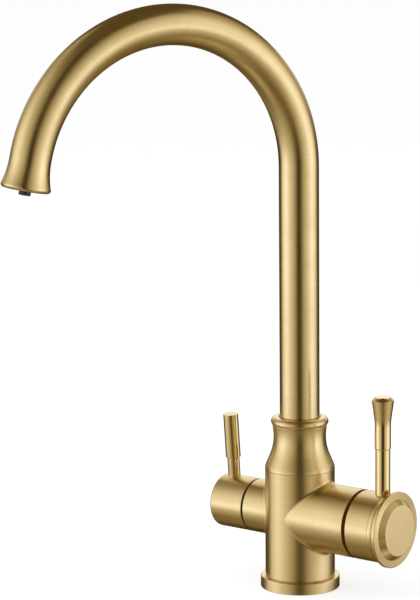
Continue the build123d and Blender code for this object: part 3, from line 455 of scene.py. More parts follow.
def shared_group(name: str, sockets: dict, out: tuple[str, str], fill: Callable) -> Tree:
    """Get a shader node group, building it the first time.

    Args:
        name: The group's name.
        sockets: Defaults of its inputs by name, None for a vector.
        out: Name and kind of its output.
        fill: Gives the result from the graph and the sockets of the inputs.

    Returns:
        The node group.
    """
    if name in bpy.data.node_groups:
        return bpy.data.node_groups[name]
    tree = bpy.data.node_groups.new(name, "ShaderNodeTree")
    for label, default in sockets.items():
        kind = "NodeSocketVector" if default is None else "NodeSocketFloat"
        made = tree.interface.new_socket(name=label, in_out="INPUT", socket_type=kind)
        if default is not None:
            made.default_value = default
    tree.interface.new_socket(name=out[0], in_out="OUTPUT", socket_type=out[1])
    graph = Graph(tree)
    graph.add("NodeGroupOutput", {0: fill(graph, graph.add("NodeGroupInput").outputs)})
    return tree


def round_brushing() -> Tree:
    """Fine lines that run round the local Z axis, on walls and on end faces alike.

    Returns:
        The group, from a place with the axis as Z to a mask.
    """

    def fill(graph: Graph, given: bpy.types.NodeOutputs) -> Socket:
        """Noise that changes fast along the axis and outwards, and slowly round it.

        Args:
            graph: The group's graph.
            given: The sockets of its inputs.

        Returns:
            The mask.
        """
        x, y, z = graph.parts(given["Vector"])
        flat = graph.joined(x, y, 0.0)
        cosine, sine, _ = graph.parts(graph.vector("NORMALIZE", flat))
        lines, run = given["Lines"], given["Run"]
        spot = graph.joined(
            graph.math("MULTIPLY", z, lines),
            graph.math("MULTIPLY", graph.vector("LENGTH", flat), lines),
            graph.math("MULTIPLY", cosine, run),
        )
        noise = graph.add(
            "ShaderNodeTexNoise",
            {
                "Vector": spot,
                "W": graph.math("MULTIPLY", sine, run),
                "Scale": 1.0,
                "Detail": 2.0,
                "Roughness": 0.62,
            },
            noise_dimensions="4D",
        )
        return graph.share(noise.outputs[0], *LINE_CONTRAST)

    sockets = {"Vector": None, "Lines": 3000.0, "Run": 1.5}
    return shared_group("RoundBrushing", sockets, ("Mask", "NodeSocketFloat"), fill)


def soft_clouds() -> Tree:
    """Slow changes over a surface, as handling and polishing leave them.

    Returns:
        The group, from a place to a mask.
    """

    def fill(graph: Graph, given: bpy.types.NodeOutputs) -> Socket:
        """Two octaves of slow noise.

        Args:
            graph: The group's graph.
            given: The sockets of its inputs.

        Returns:
            The mask.
        """
        inputs = {"Vector": given["Vector"], "Scale": given["Scale"]}
        noise = graph.add("ShaderNodeTexNoise", {**inputs, "Detail": 2.0, "Roughness": 0.5})
        return graph.share(noise.outputs[0], *CLOUD_CONTRAST)

    sockets = {"Vector": None, "Scale": 30.0}
    return shared_group("SoftClouds", sockets, ("Mask", "NodeSocketFloat"), fill)


def tube_unrolled() -> Tree:
    """Turning UV map of a bent tube as a place on the same tube drawn straight.

    Returns:
        The group, from a UV map to a place.
    """

    def fill(graph: Graph, given: bpy.types.NodeOutputs) -> Socket:
        """Round the tube by U and along it by V.

        Args:
            graph: The group's graph.
            given: The sockets of its inputs.

        Returns:
            The place.
        """
        round_it, along_it, _ = graph.parts(given["UV"])
        turn = graph.math("MULTIPLY", round_it, math.tau)
        return graph.joined(
            graph.math("MULTIPLY", graph.math("COSINE", turn), given["Radius"]),
            graph.math("MULTIPLY", graph.math("SINE", turn), given["Radius"]),
            graph.math("MULTIPLY", along_it, given["Length"]),
        )

    sockets = {"UV": None, "Radius": 0.0125, "Length": 1.0}
    return shared_group("TubeUnrolled", sockets, ("Vector", "NodeSocketVector"), fill)


# ---------------------------------------------------------------- finishes
def opaque(colour: Colour) -> tuple[float, float, float, float]:
    """A colour with full alpha."""
    return (*colour, 1.0)


def new_material(name: str) -> tuple[Material, Graph]:
    """Start a material with an empty tree.

    Args:
        name: The material's name.

    Returns:
        The material and its graph.
    """
    material = bpy.data.materials.new(name)
    material.use_nodes = True
    material.node_tree.nodes.clear()
    return material, Graph(material.node_tree)


def glowing(name: str, colour: object) -> Material:
    """Material that gives off plain light, of a colour or of what a graph makes.

    Args:
        name: The material's name.
        colour: The colour, or a function that makes its socket from the graph.

    Returns:
        The material.
    """
    material, graph = new_material(name)
    light = colour(graph) if callable(colour) else opaque(colour)
    graph.surface("ShaderNodeEmission", {0: light, 1: 1.0})
    return material


class Brushing(Enum):
    """How the place of a brushed surface is read."""

    BY_PLACE = "by_place"
    BY_UV = "by_uv"
    BY_BODY = "by_body"


@dataclass(frozen=True)
class CastingMarks:
    """Where the finish of the casting changes and where shade is painted in the gaps behind the
    hubs, in metres from the middle of the column.

    The grains are the directions of the stretched highlight on the column and on the housings.
    """

    column_end: float = 0.0224
    housing_start: float = 0.0232
    mixer_rim: float = 0.0467
    filter_rim: float = 0.0330
    upright_grain: Colour = (0.02, 0.03, 1.0)
    level_grain: Colour = (1.0, 0.03, 0.02)

    def on_housing(self, graph: Graph) -> Socket:
        """How far a place is out on a housing: 0 on the column, 1 beyond it.

        Args:
            graph: The material's graph.

        Returns:
            The share of the housing.
        """
        x, y, _ = graph.parts(graph.spot())
        radius = graph.vector("LENGTH", graph.joined(x, y, 0.0))
        return graph.share(radius, self.column_end, self.housing_start)

    def in_gap(self, graph: Graph) -> Socket:
        """1 where shade is painted, on the end faces inside the gaps behind the hubs and on their
        edges, 0 elsewhere.

        Args:
            graph: The material's graph.

        Returns:
            The mask of the faces.
        """
        along = graph.parts(graph.spot())[0]
        mixer = graph.math("GREATER_THAN", along, self.mixer_rim)
        far = graph.math("LESS_THAN", along, -self.filter_rim)
        return graph.math("ADD", mixer, far, clamp=True)


@dataclass(frozen=True)
class GoldFinish:
    """Brushed or satin gold plating. Lines are counted per metre and lengths are in metres."""

    name: str
    light: Colour = (0.91, 0.725, 0.385)
    deep: Colour = (0.80, 0.61, 0.295)
    roughness: float = 0.28
    roughness_spread: float = 0.06
    stretch: float = 0.5
    highlight_turn: float = 0.25
    fine_lines: float = 4200.0
    broad_lines: float = 900.0
    run: float = 1.6
    relief: float = 0.000009
    relief_strength: float = 0.35
    broad_height: float = 0.5
    fine_tint: float = 0.2
    broad_tint: float = 0.3
    worn_tint: float = 0.35
    worn_scale: float = 38.0
    worn_roughness: float = 0.03
    # Painted shade: near-black colour of the end faces in the gaps behind the hubs.
    gap_shade: Colour = (0.08, 0.035, 0.01)
    marks: CastingMarks = CastingMarks()
    tube_radius: float = 0.0125
    tube_outline: float = 0.9742  # length that V spans on the spout, out along it and back inside

    def material(self, axis: TurningAxis, brushing: Brushing) -> Material:
        """Make the plating for pieces that turn about an axis.

        Args:
            axis: The axis that the brushing runs round.
            brushing: How the place on the surface is read.

        Returns:
            The material, made once for each axis and way of reading the place.
        """
        name = f"{self.name}_{axis.value}_{brushing.value}"
        if name in bpy.data.materials:
            return bpy.data.materials[name]
        material, graph = new_material(name)
        place = self._place(graph, axis, brushing)
        fine, broad = (
            self._lines(graph, place, brushing, count)
            for count in (self.fine_lines, self.broad_lines)
        )
        worn = graph.group(soft_clouds(), {"Vector": place, "Scale": self.worn_scale})
        tint = graph.math(
            "ADD",
            graph.math("MULTIPLY", fine, self.fine_tint),
            graph.total(
                graph.math("MULTIPLY", broad, self.broad_tint),
                graph.math("MULTIPLY", worn, self.worn_tint),
            ),
            clamp=True,
        )
        colour = graph.mix(tint, opaque(self.light), opaque(self.deep), Mix.COLOUR)
        # Shade is painted on the end faces in the gaps behind the hubs.
        if brushing is Brushing.BY_BODY:
            in_gap = self.marks.in_gap(graph)
            colour = graph.mix(in_gap, colour, opaque(self.gap_shade), Mix.COLOUR)
        rough = graph.total(
            graph.math("MULTIPLY", fine, self.roughness_spread),
            graph.math("MULTIPLY", worn, self.worn_roughness),
            self.roughness,
        )
        height = graph.total(graph.math("MULTIPLY", broad, self.broad_height), fine)
        relief = {"Strength": self.relief_strength, "Distance": self.relief, "Height": height}
        look = {
            "Base Color": colour,
            "Roughness": rough,
            "Normal": graph.add("ShaderNodeBump", relief).outputs[0],
            "Metallic": 1.0,
            "Anisotropic": self.stretch,
            **self._grain(graph, brushing),
        }
        graph.surface("ShaderNodeBsdfPrincipled", look)
        return material

    def _lines(self, graph: Graph, place: Socket, brushing: Brushing, count: float) -> Socket:
        """Brushed lines at one pitch, which on the casting turn where a housing starts.

        Args:
            graph: The material's graph.
            place: Place on the surface, with the turning axis as Z.
            brushing: How the place is read.
            count: Lines per metre.

        Returns:
            The mask of the lines.
        """
        inputs = {"Lines": count, "Run": self.run}
        lines = graph.group(round_brushing(), {"Vector": place, **inputs})
        if brushing is not Brushing.BY_BODY:
            return lines
        upright = self._place(graph, TurningAxis.COLUMN, Brushing.BY_PLACE)
        column = graph.group(round_brushing(), {"Vector": upright, **inputs})
        return graph.mix(self.marks.on_housing(graph), column, lines, Mix.VALUE)

    def _place(self, graph: Graph, axis: TurningAxis, brushing: Brushing) -> Socket:
        """Place on the surface with the turning axis as Z, in metres.

        Args:
            graph: The material's graph.
            axis: The axis that the brushing runs round.
            brushing: How the place is read.

        Returns:
            The place.
        """
        if brushing is Brushing.BY_UV:
            chart = graph.add("ShaderNodeUVMap", uv_map=UV_NAME).outputs[0]
            sizes = {"Radius": self.tube_radius, "Length": self.tube_outline}
            return graph.group(tube_unrolled(), {"UV": chart, **sizes})
        matrix = axis.matrix()
        inputs = {0: graph.spot(), "Location": matrix.translation, "Rotation": matrix.to_euler()}
        return graph.add("ShaderNodeMapping", inputs, vector_type="TEXTURE").outputs[0]

    def _grain(self, graph: Graph, brushing: Brushing) -> dict:
        """Shader inputs that lay the stretched highlight across the brushed lines.

        Args:
            graph: The material's graph.
            brushing: How the place is read.

        Returns:
            The inputs by name.
        """
        if brushing is Brushing.BY_BODY:
            share = self.marks.on_housing(graph)
            ways = (self.marks.upright_grain, self.marks.level_grain)
            return {"Tangent": graph.mix(share, *ways, Mix.DIRECTION)}
        grain = graph.add("ShaderNodeTangent", direction_type="UV_MAP", uv_map=UV_NAME)
        return {"Tangent": grain.outputs[0], "Anisotropic Rotation": self.highlight_turn}


@dataclass(frozen=True)
class PlainFinish:
    """Moulded, rubber, ceramic or plain metal surface with grain and slow variation."""

    name: str
    colour: Colour
    second: Colour
    roughness: float
    metallic: float = 0.0
    slow_scale: float = 70.0
    slow_share: float = 0.6
    slow_roughness: float = 0.1
    tint: float = 0.6
    grain_scale: float = 900.0
    grain_relief: float = 0.00002
    grain_strength: float = 0.3
    coat: float = 0.0

    def material(self) -> Material:
        """Make the surface once.

        Returns:
            The material.
        """
        name = f"{self.name}_surface"
        if name in bpy.data.materials:
            return bpy.data.materials[name]
        material, graph = new_material(name)
        spot = graph.spot()
        slow, grain = (
            graph.group(soft_clouds(), {"Vector": spot, "Scale": scale})
            for scale in (self.slow_scale, self.grain_scale)
        )
        both = graph.total(graph.math("MULTIPLY", slow, self.slow_share), grain)
        tint = graph.math("MULTIPLY", both, self.tint, clamp=True)
        rough = graph.total(graph.math("MULTIPLY", slow, self.slow_roughness), self.roughness)
        relief = {"Strength": self.grain_strength, "Distance": self.grain_relief, "Height": grain}
        look = {
            "Base Color": graph.mix(tint, opaque(self.colour), opaque(self.second), Mix.COLOUR),
            "Roughness": rough,
            "Normal": graph.add("ShaderNodeBump", relief).outputs[0],
            "Metallic": self.metallic,
            "Coat Weight": self.coat,
        }
        graph.surface("ShaderNodeBsdfPrincipled", look)
        return material


BRUSHED = GoldFinish("brushed_gold")
SATIN = GoldFinish("spout_gold", fine_lines=3600.0, relief=0.000006, roughness=0.25)
CAP = GoldFinish(
    "cap_gold",
    light=(0.97, 0.775, 0.44),
    deep=(0.90, 0.70, 0.37),
    roughness=0.13,
    roughness_spread=0.03,
    stretch=0.2,
    relief=0.000003,
)
LEVER = GoldFinish(
    "lever_gold", roughness=0.10, roughness_spread=0.03, stretch=0.35, relief=0.000003
)
# The dome's colour is darkened far below the gold plating: painted shade that keeps the gap behind
# the mixer hub dark.
SHADED_DOME = PlainFinish("dome_gold", (0.26, 0.11, 0.025), (0.20, 0.08, 0.018), 0.5, 1.0)
PLAIN_BRASS = PlainFinish("plain_brass", (0.72, 0.54, 0.25), (0.62, 0.45, 0.20), 0.28, 1.0)
STAINLESS = PlainFinish("stainless", (0.60, 0.60, 0.58), (0.50, 0.50, 0.49), 0.3, 1.0)
RUBBER = PlainFinish("black_rubber", (0.022, 0.022, 0.024), (0.035, 0.035, 0.036), 0.62)
BLACK = PlainFinish("black_plastic", (0.016, 0.016, 0.018), (0.026, 0.026, 0.028), 0.3)
GREY = PlainFinish("grey_plastic", (0.20, 0.20, 0.21), (0.26, 0.26, 0.27), 0.45)
WHITE = PlainFinish("white_plastic", (0.80, 0.80, 0.77), (0.72, 0.72, 0.69), 0.4)
TUBE = PlainFinish("tube_plastic", (0.74, 0.76, 0.79), (0.66, 0.69, 0.72), 0.35)
CERAMIC = PlainFinish("disc_ceramic", (0.84, 0.83, 0.79), (0.78, 0.77, 0.73), 0.12, coat=0.3)


# ---------------------------------------------------------------- putting pieces in place
def stand_for(mesh: Mesh, node: str, body: str, slot: str, material: Material) -> None:
    """Put a finished mesh in the scene in place of a node of the model.

    Args:
        mesh: The finished mesh, in metres and in place.
        node: The node that it stands for.
        body: The body that it rides on.
        slot: The material slot of the record; not used.
        material: Its finish.
    """
    mesh.materials.clear()
    mesh.materials.append(material)
    piece = placed(f"{node}_finished", mesh)
    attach(piece, body)
    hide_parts(node)
    LOG.info("%s: %d faces on %s", piece.name, len(mesh.polygons), body)


def dress(node: str, material: Material) -> None:
    """Give a node of the model its finish.

    Args:
        node: The node.
        material: Its finish.
    """
    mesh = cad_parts[node].data
    mesh.materials.clear()
    mesh.materials.append(material)
    LOG.info("%s: dressed in %s", node, material.name)


# ---------------------------------------------------------------- base
@dataclass
class Base:
    """Ring, casting and bonnet, in millimetres and degrees."""

    ring_radius: float = 25.0
    ring_height: float = 7.3
    ring_edge: float = 0.8
    ring_foot_edge: float = 0.25
    ring_bore: float = 18.95
    seal_inner: float = 20.25
    seal_outer: float = 23.7
    seal_depth: float = 2.05
    column_radius: float = 22.0
    seam: float = 76.4
    seam_edge: float = 0.3
    waist_rise: float = 20.9
    waist_radius: float = 16.5
    collar_rise: float = 12.5
    collar_radius: float = 18.1
    bead_radius: float = 2.85
    bead_foot_angle: float = 45.0
    shoulder_radius: float = 8.0
    throat_radius: float = 31.0
    bead_groove: float = 0.35
    thread_bore: float = 15.05
    thread_step: float = 91.2
    collar_bore: float = 13.25
    collar_edge: float = 0.2

    def build(self) -> None:
        """Make the ring and the bonnet and dress the casting."""
        gold = BRUSHED.material(TurningAxis.COLUMN, Brushing.BY_PLACE)
        self._place(self._ring(), "base_ring", gold)
        self._place(self._bonnet(), "neck_bonnet", gold)
        dress("valve_body", BRUSHED.material(TurningAxis.MIXER_VALVE, Brushing.BY_BODY))

    def _place(self, corners: list[Corner], node: str, gold: Material) -> None:
        """Turn a half section about the column and stand it for its node."""
        turning = Turning(node, corners, TurningAxis.COLUMN)
        stand_for(turning.mesh(), node, "tap_body", BRUSHED.name, gold)

    def _ring(self) -> list[Corner]:
        """Half section of the base ring.

        Returns:
            The corners, in order.
        """
        return [
            Corner(self.ring_bore, 0),
            Corner(self.seal_inner, 0),
            Corner(self.seal_inner, self.seal_depth),
            Corner(self.seal_outer, self.seal_depth),
            Corner(self.seal_outer, 0),
            Corner(self.ring_radius, 0, self.ring_foot_edge),
            Corner(self.ring_radius, self.ring_height, self.ring_edge),
            Corner(self.ring_bore, self.ring_height),
        ]

    def _bonnet(self) -> list[Corner]:
        """Half section of the bonnet: shoulder, waist, flare, groove, bead and bore.

        Returns:
            The corners, in order.
        """
        top = self.seam + self.waist_rise + self.collar_rise
        waist = self.seam + self.waist_rise
        arcs = self.shoulder_radius + self.throat_radius
        inset = arcs - (self.column_radius - self.waist_radius)
        straight = math.sqrt(inset**2 + self.waist_rise**2 - arcs**2)
        slope = math.degrees(math.atan2(self.waist_rise, inset) - math.atan2(straight, arcs))
        shoulder = (self.column_radius - self.shoulder_radius, self.seam)
        first = math.degrees(math.asin(self.seam_edge / self.shoulder_radius))
        throat = (self.waist_radius + self.throat_radius, waist)
        bead = (self.collar_radius - self.bead_radius, top - self.bead_radius)
        beading = arc(bead, self.bead_radius, -self.bead_foot_angle, 90, steps=14)
        foot = beading[0]
        flare_top = foot.height - 2 * self.bead_groove
        flare, angle = flare_arc(flare_top - waist, foot.radius - self.waist_radius)
        return [
            Corner(self.thread_bore, self.seam),
            Corner(self.column_radius - self.seam_edge, self.seam),
            *arc(shoulder, self.shoulder_radius, first, slope, steps=14),
            *arc(throat, self.throat_radius, 180 + slope, 180, steps=22),
            *arc((self.waist_radius + flare, waist), flare, 180, 180 - angle, steps=14)[1:],
            Corner(foot.radius - self.bead_groove, flare_top + self.bead_groove),
            Corner(foot.radius - self.bead_groove, foot.height),
            *beading,
            Corner(self.collar_bore, top, self.collar_edge),
            Corner(self.collar_bore, self.thread_step),
            Corner(self.thread_bore, self.thread_step),
        ]


# ---------------------------------------------------------------- spout
@dataclass
class Spout:
    """Swan-neck tube with its flared tip, in millimetres and degrees."""

    foot: float = 90.3
    arch_height: float = 268.4
    arch_radius: float = 93.5
    arch_sweep: float = 168.0
    tail: float = 18.5
    tube_radius: float = 12.499
    bore_radius: float = 11.0
    lip_radius: float = 15.099
    lip_edge: float = 2.1
    flare_length: float = 18.0
    aerator_bore: float = 12.35
    aerator_edge: float = 0.25
    aerator_depth: float = 9.4
    segments: int = 128
    longest_step: float = 3.0

    def length(self) -> float:
        """Length of the tube along its middle line."""
        arch = self.arch_radius * math.radians(self.arch_sweep)
        return self.arch_height - self.foot + arch + self.tail

    def build(self) -> None:
        """Turn the tube straight, bend it along its path and stand it for its node."""
        axis, section = TurningAxis.SPOUT, self._section()
        straight = Turning("spout_tube", section, axis, self.segments, longest=self.longest_step)
        gold = SATIN.material(axis, Brushing.BY_UV)
        mesh = self._bent(straight.mesh(), gold)
        stand_for(mesh, "spout_tube", "spout", SATIN.name, gold)

    def _section(self) -> list[Corner]:
        """Half section of the tube drawn straight, from its foot up to the lip.

        Returns:
            The corners, in order.
        """
        end = self.length()
        flare, angle = flare_arc(
            self.flare_length - self.lip_edge, self.lip_radius - self.tube_radius
        )
        centre = (self.tube_radius + flare, end - self.flare_length)
        edge = (self.lip_radius - self.lip_edge, end - self.lip_edge)
        return [
            Corner(self.bore_radius, 0),
            Corner(self.tube_radius, 0),
            *arc(centre, flare, 180, 180 - angle, steps=16),
            *arc(edge, self.lip_edge, 0, 90, steps=6)[1:],
            Corner(self.aerator_bore, end, self.aerator_edge),
            Corner(self.aerator_bore, end - self.aerator_depth),
            Corner(self.bore_radius, end - self.aerator_depth),
        ]

    def _bent(self, mesh: Mesh, gold: Material) -> Mesh:
        """Bend a straight tube along the riser, the arch and the tail.

        Args:
            mesh: The straight tube, from height 0 up.
            gold: The material that the tree sets.

        Returns:
            The bent mesh.
        """
        values = {
            "Foot": self.foot * MM,
            "Riser": (self.arch_height - self.foot) * MM,
            "Arch Radius": self.arch_radius * MM,
            "Arch Sweep": math.radians(self.arch_sweep),
            "Turn": math.radians(PLACES.swivel_turn),
            "Material": gold,
        }
        return shaped(mesh, bend_tree(), values)


def shaped(mesh: Mesh, tree: Tree, values: dict) -> Mesh:
    """Put a mesh through a tree and give the plain mesh that comes out.

    Args:
        mesh: What the tree starts from.
        tree: The tree.
        values: Values of its inputs by name, set by their identifiers.

    Returns:
        The finished mesh.
    """
    holder = placed("blank", mesh)
    modifier = holder.modifiers.new("tree", "NODES")
    modifier.node_group = tree
    for item in tree.interface.items_tree:
        if item.item_type == "SOCKET" and item.in_out == "INPUT" and item.name in values:
            modifier[item.identifier] = values[item.name]
    bpy.context.view_layer.update()
    evaluated = holder.evaluated_get(bpy.context.evaluated_depsgraph_get())
    made = bpy.data.meshes.new_from_object(evaluated)
    holder.modifiers.remove(modifier)
    bpy.data.objects.remove(holder)
    return made


def tree_start(
    name: str, lengths: list[str]
) -> tuple[Graph, bpy.types.NodeOutputs, bpy.types.Node]:
    """Start a Geometry Nodes tree that takes a geometry, some lengths and a material.

    Args:
        name: The tree's name.
        lengths: Names of the inputs that are plain values.

    Returns:
        Its graph, the sockets of its inputs and its output node.
    """
    tree = bpy.data.node_groups.new(name, "GeometryNodeTree")
    inputs = [("Geometry", "NodeSocketGeometry")]
    inputs += [(length, "NodeSocketFloat") for length in lengths]
    inputs += [("Material", "NodeSocketMaterial")]
    for label, kind in inputs:
        tree.interface.new_socket(name=label, in_out="INPUT", socket_type=kind)
    tree.interface.new_socket(name="Geometry", in_out="OUTPUT", socket_type="NodeSocketGeometry")
    graph = Graph(tree)
    return graph, graph.add("NodeGroupInput").outputs, graph.add("NodeGroupOutput")


def tree_end(graph: Graph, geometry: Socket, material: Socket, result: bpy.types.Node) -> None:
    """End a tree in Realize Instances and Set Material.

    Args:
        graph: The tree's graph.
        geometry: What the tree has made.
        material: The socket that gives the material.
        result: The output node.
    """
    real = graph.add("GeometryNodeRealizeInstances", {0: geometry}).outputs[0]
    dressed = graph.add("GeometryNodeSetMaterial", {0: real, "Material": material})
    graph.feed(result, {0: dressed.outputs[0]})


def bend_tree() -> Tree:
    """Tree that bends a straight form along a riser, an arch and a straight tail.

    Returns:
        The tree.
    """
    names = ["Foot", "Riser", "Arch Radius", "Arch Sweep", "Turn"]
    graph, given, result = tree_start("BendAlongSpout", names)
    foot, riser, radius, sweep, turn = (given[name] for name in names)
    x, y, run = graph.parts(graph.add("GeometryNodeInputPosition").outputs[0])
    past = graph.math("MAXIMUM", graph.math("SUBTRACT", run, riser), 0.0)
    angle = graph.math("MINIMUM", graph.math("DIVIDE", past, radius), sweep)
    arch = graph.math("MULTIPLY", radius, sweep)
    tail = graph.math("MAXIMUM", graph.math("SUBTRACT", past, arch), 0.0)
    sine, cosine = graph.math("SINE", angle), graph.math("COSINE", angle)
    inner = graph.math("SUBTRACT", radius, x)
    out = graph.math(
        "ADD",
        graph.math("SUBTRACT", radius, graph.math("MULTIPLY", inner, cosine)),
        graph.math("MULTIPLY", tail, sine),
    )
    rise = graph.total(
        foot,
        graph.math("MINIMUM", run, riser),
        graph.math("MULTIPLY", inner, sine),
        graph.math("MULTIPLY", tail, cosine),
    )
    turned = graph.add(
        "ShaderNodeVectorRotate",
        {"Vector": graph.joined(out, y, rise), "Angle": turn},
        rotation_type="Z_AXIS",
    )
    moved = graph.add(
        "GeometryNodeSetPosition", {0: given["Geometry"], "Position": turned.outputs[0]}
    )
    tree_end(graph, moved.outputs[0], given["Material"], result)
    return graph.tree


# ---------------------------------------------------------------- levers
@dataclass(frozen=True)
class LeverStem:
    """Stem with the thread that holds it and the spigot that carries its knob, in millimetres."""

    radius: float
    seat: float
    top: float
    thread_radius: float
    thread_length: float
    spigot_radius: float
    spigot_length: float = 12.0
    edge: float = 0.15
    socket_room: float = 0.05

    def section(self) -> list[Corner]:
        """Half section of the stem with its thread and spigot.

        Returns:
            The corners, in order.
        """
        start, end = self.seat - self.thread_length, self.top + self.spigot_length
        return [
            Corner(0, start),
            Corner(self.thread_radius, start),
            Corner(self.thread_radius, self.seat),
            Corner(self.radius, self.seat),
            Corner(self.radius, self.top, self.edge),
            Corner(self.spigot_radius, self.top),
            Corner(self.spigot_radius, end),
            Corner(0, end),
        ]

    def socket(self) -> list[Corner]:
        """Half section of the knob's hole that the spigot goes into.

        Returns:
            The corners, in order.
        """
        radius = self.spigot_radius + self.socket_room
        depth = self.top + self.spigot_length + self.socket_room
        return [Corner(0, depth), Corner(radius, depth), Corner(radius, self.top)]


# ---------------------------------------------------------------- mixer handle
@dataclass
class MixerHandle:
    """Hub, end cap, stem and knob on the mixer side, in millimetres and degrees."""

    back: float = 49.1
    radius: float = 21.75
    skirt_wall: float = 1.35
    rim: float = 0.5
    pin: float = 31.94734
    cavity: float = 26.6528
    boss_radius: float = 6.3
    boss_back: float = 52.84734
    spindle_bore: float = 4.05
    spindle_end: float = 64.45
    screw_bore: float = 2.45
    screw_seat: float = 66.4
    screw_head_bore: float = 4.25
    cap_floor: float = 68.8
    cap_bore: float = 16.05
    front: float = 72.8
    groove: float = 65.5
    groove_width: float = 0.4
    groove_depth: float = 0.12
    groove_edge: float = 0.08
    flare_start: float = 66.5
    flare_end: float = 70.8
    flange_lip: float = 2.15
    flange_edge: float = 0.4
    cap_seat_edge: float = 0.1
    cap_back: float = 68.9
    cap_spigot: float = 16.0
    cap_room: float = 13.4
    cap_room_end: float = 73.6
    cap_foot: float = 19.25
    cap_face: float = 16.0
    cap_front: float = 76.2
    cap_edge: float = 0.3
    stem: LeverStem = LeverStem(
        radius=4.65, seat=19.35, top=50.25, thread_radius=3.0, thread_length=9.0, spigot_radius=2.8
    )
    knob_radius: float = 5.0
    knob_foot_edge: float = 0.5
    knob_straight: float = 14.1
    knob_arc: float = 40.0
    knob_flare: float = 8.0
    knob_length: float = 33.0
    knob_crown: float = 2.1
    knob_top_radius: float = 4.8
    knob_step: float = 0.5
    knob_step_edge: float = 0.05
    knob_edge: float = 0.12

    def build(self) -> None:
        """Make every piece of the handle that shows."""
        valve, lever = TurningAxis.MIXER_VALVE, TurningAxis.MIXER_LEVER
        plan = [
            ("mixer_hub", self._hub(), valve, True, BRUSHED),
            ("mixer_end_cap", self._cap(), valve, False, CAP),
            ("mixer_lever_stem", self.stem.section(), lever, False, LEVER),
            ("mixer_lever_knob", self._knob(), lever, False, LEVER),
        ]
        for node, corners, axis, closed, finish in plan:
            mesh = Turning(node, corners, axis, closed=closed).mesh()
            gold = finish.material(axis, Brushing.BY_PLACE)
            stand_for(mesh, node, "mixer_handle", finish.name, gold)

    def _hub(self) -> list[Corner]:
        """Half section of the hub with its cavity, boss and bores.

        Returns:
            The corners, in order.
        """
        flange = self.radius + self.flange_lip
        flare, angle = flare_arc(self.flare_end - self.flare_start, self.flange_lip)
        deep = self.radius - self.groove_depth
        skirt = self.radius - self.skirt_wall
        start = math.degrees(math.acos(self.boss_radius / self.cavity))
        end = math.degrees(math.acos(skirt / self.cavity))
        return [
            Corner(skirt, self.back),
            Corner(self.radius, self.back, self.rim),
            Corner(self.radius, self.groove, self.groove_edge),
            Corner(deep, self.groove),
            Corner(deep, self.groove + self.groove_width),
            Corner(self.radius, self.groove + self.groove_width, self.groove_edge),
            *arc((self.radius + flare, self.flare_start), flare, 180, 180 - angle, steps=12),
            Corner(flange, self.front, self.flange_edge),
            Corner(self.cap_bore, self.front, self.cap_seat_edge),
            Corner(self.cap_bore, self.cap_floor),
            Corner(self.screw_head_bore, self.cap_floor),
            Corner(self.screw_head_bore, self.screw_seat),
            Corner(self.screw_bore, self.screw_seat),
            Corner(self.screw_bore, self.spindle_end),
            Corner(self.spindle_bore, self.spindle_end),
            Corner(self.spindle_bore, self.boss_back),
            Corner(self.boss_radius, self.boss_back),
            *arc((0, self.pin), self.cavity, start, end, steps=20)[:-1],
        ]

    def _cap(self) -> list[Corner]:
        """Half section of the end cap, hollow behind.

        Returns:
            The corners, in order.
        """
        return [
            Corner(0, self.cap_room_end),
            Corner(self.cap_room, self.cap_room_end),
            Corner(self.cap_room, self.cap_back),
            Corner(self.cap_spigot, self.cap_back),
            Corner(self.cap_spigot, self.front),
            Corner(self.cap_foot, self.front),
            Corner(self.cap_face, self.cap_front, self.cap_edge),
            Corner(0, self.cap_front),
        ]

    def _knob(self) -> list[Corner]:
        """Half section of the flared knob with its crowned top and its socket.

        Returns:
            The corners, in order.
        """
        foot = self.stem.top
        straight = foot + self.knob_straight
        top = foot + self.knob_length
        widest = top - self.knob_crown
        centre = (self.knob_radius + self.knob_arc, straight)
        bent = arc(centre, self.knob_arc, 180, 180 - self.knob_flare, steps=10)
        slope = math.tan(math.radians(self.knob_flare))
        wide = bent[-1].radius + slope * (widest - bent[-1].height)
        return [
            *self.stem.socket(),
            Corner(self.knob_radius, foot, self.knob_foot_edge),
            *bent,
            Corner(wide, widest, self.knob_edge),
            Corner(self.knob_top_radius, top - self.knob_step, self.knob_step_edge),
            Corner(self.knob_top_radius, top, self.knob_edge),
            Corner(0, top),
        ]


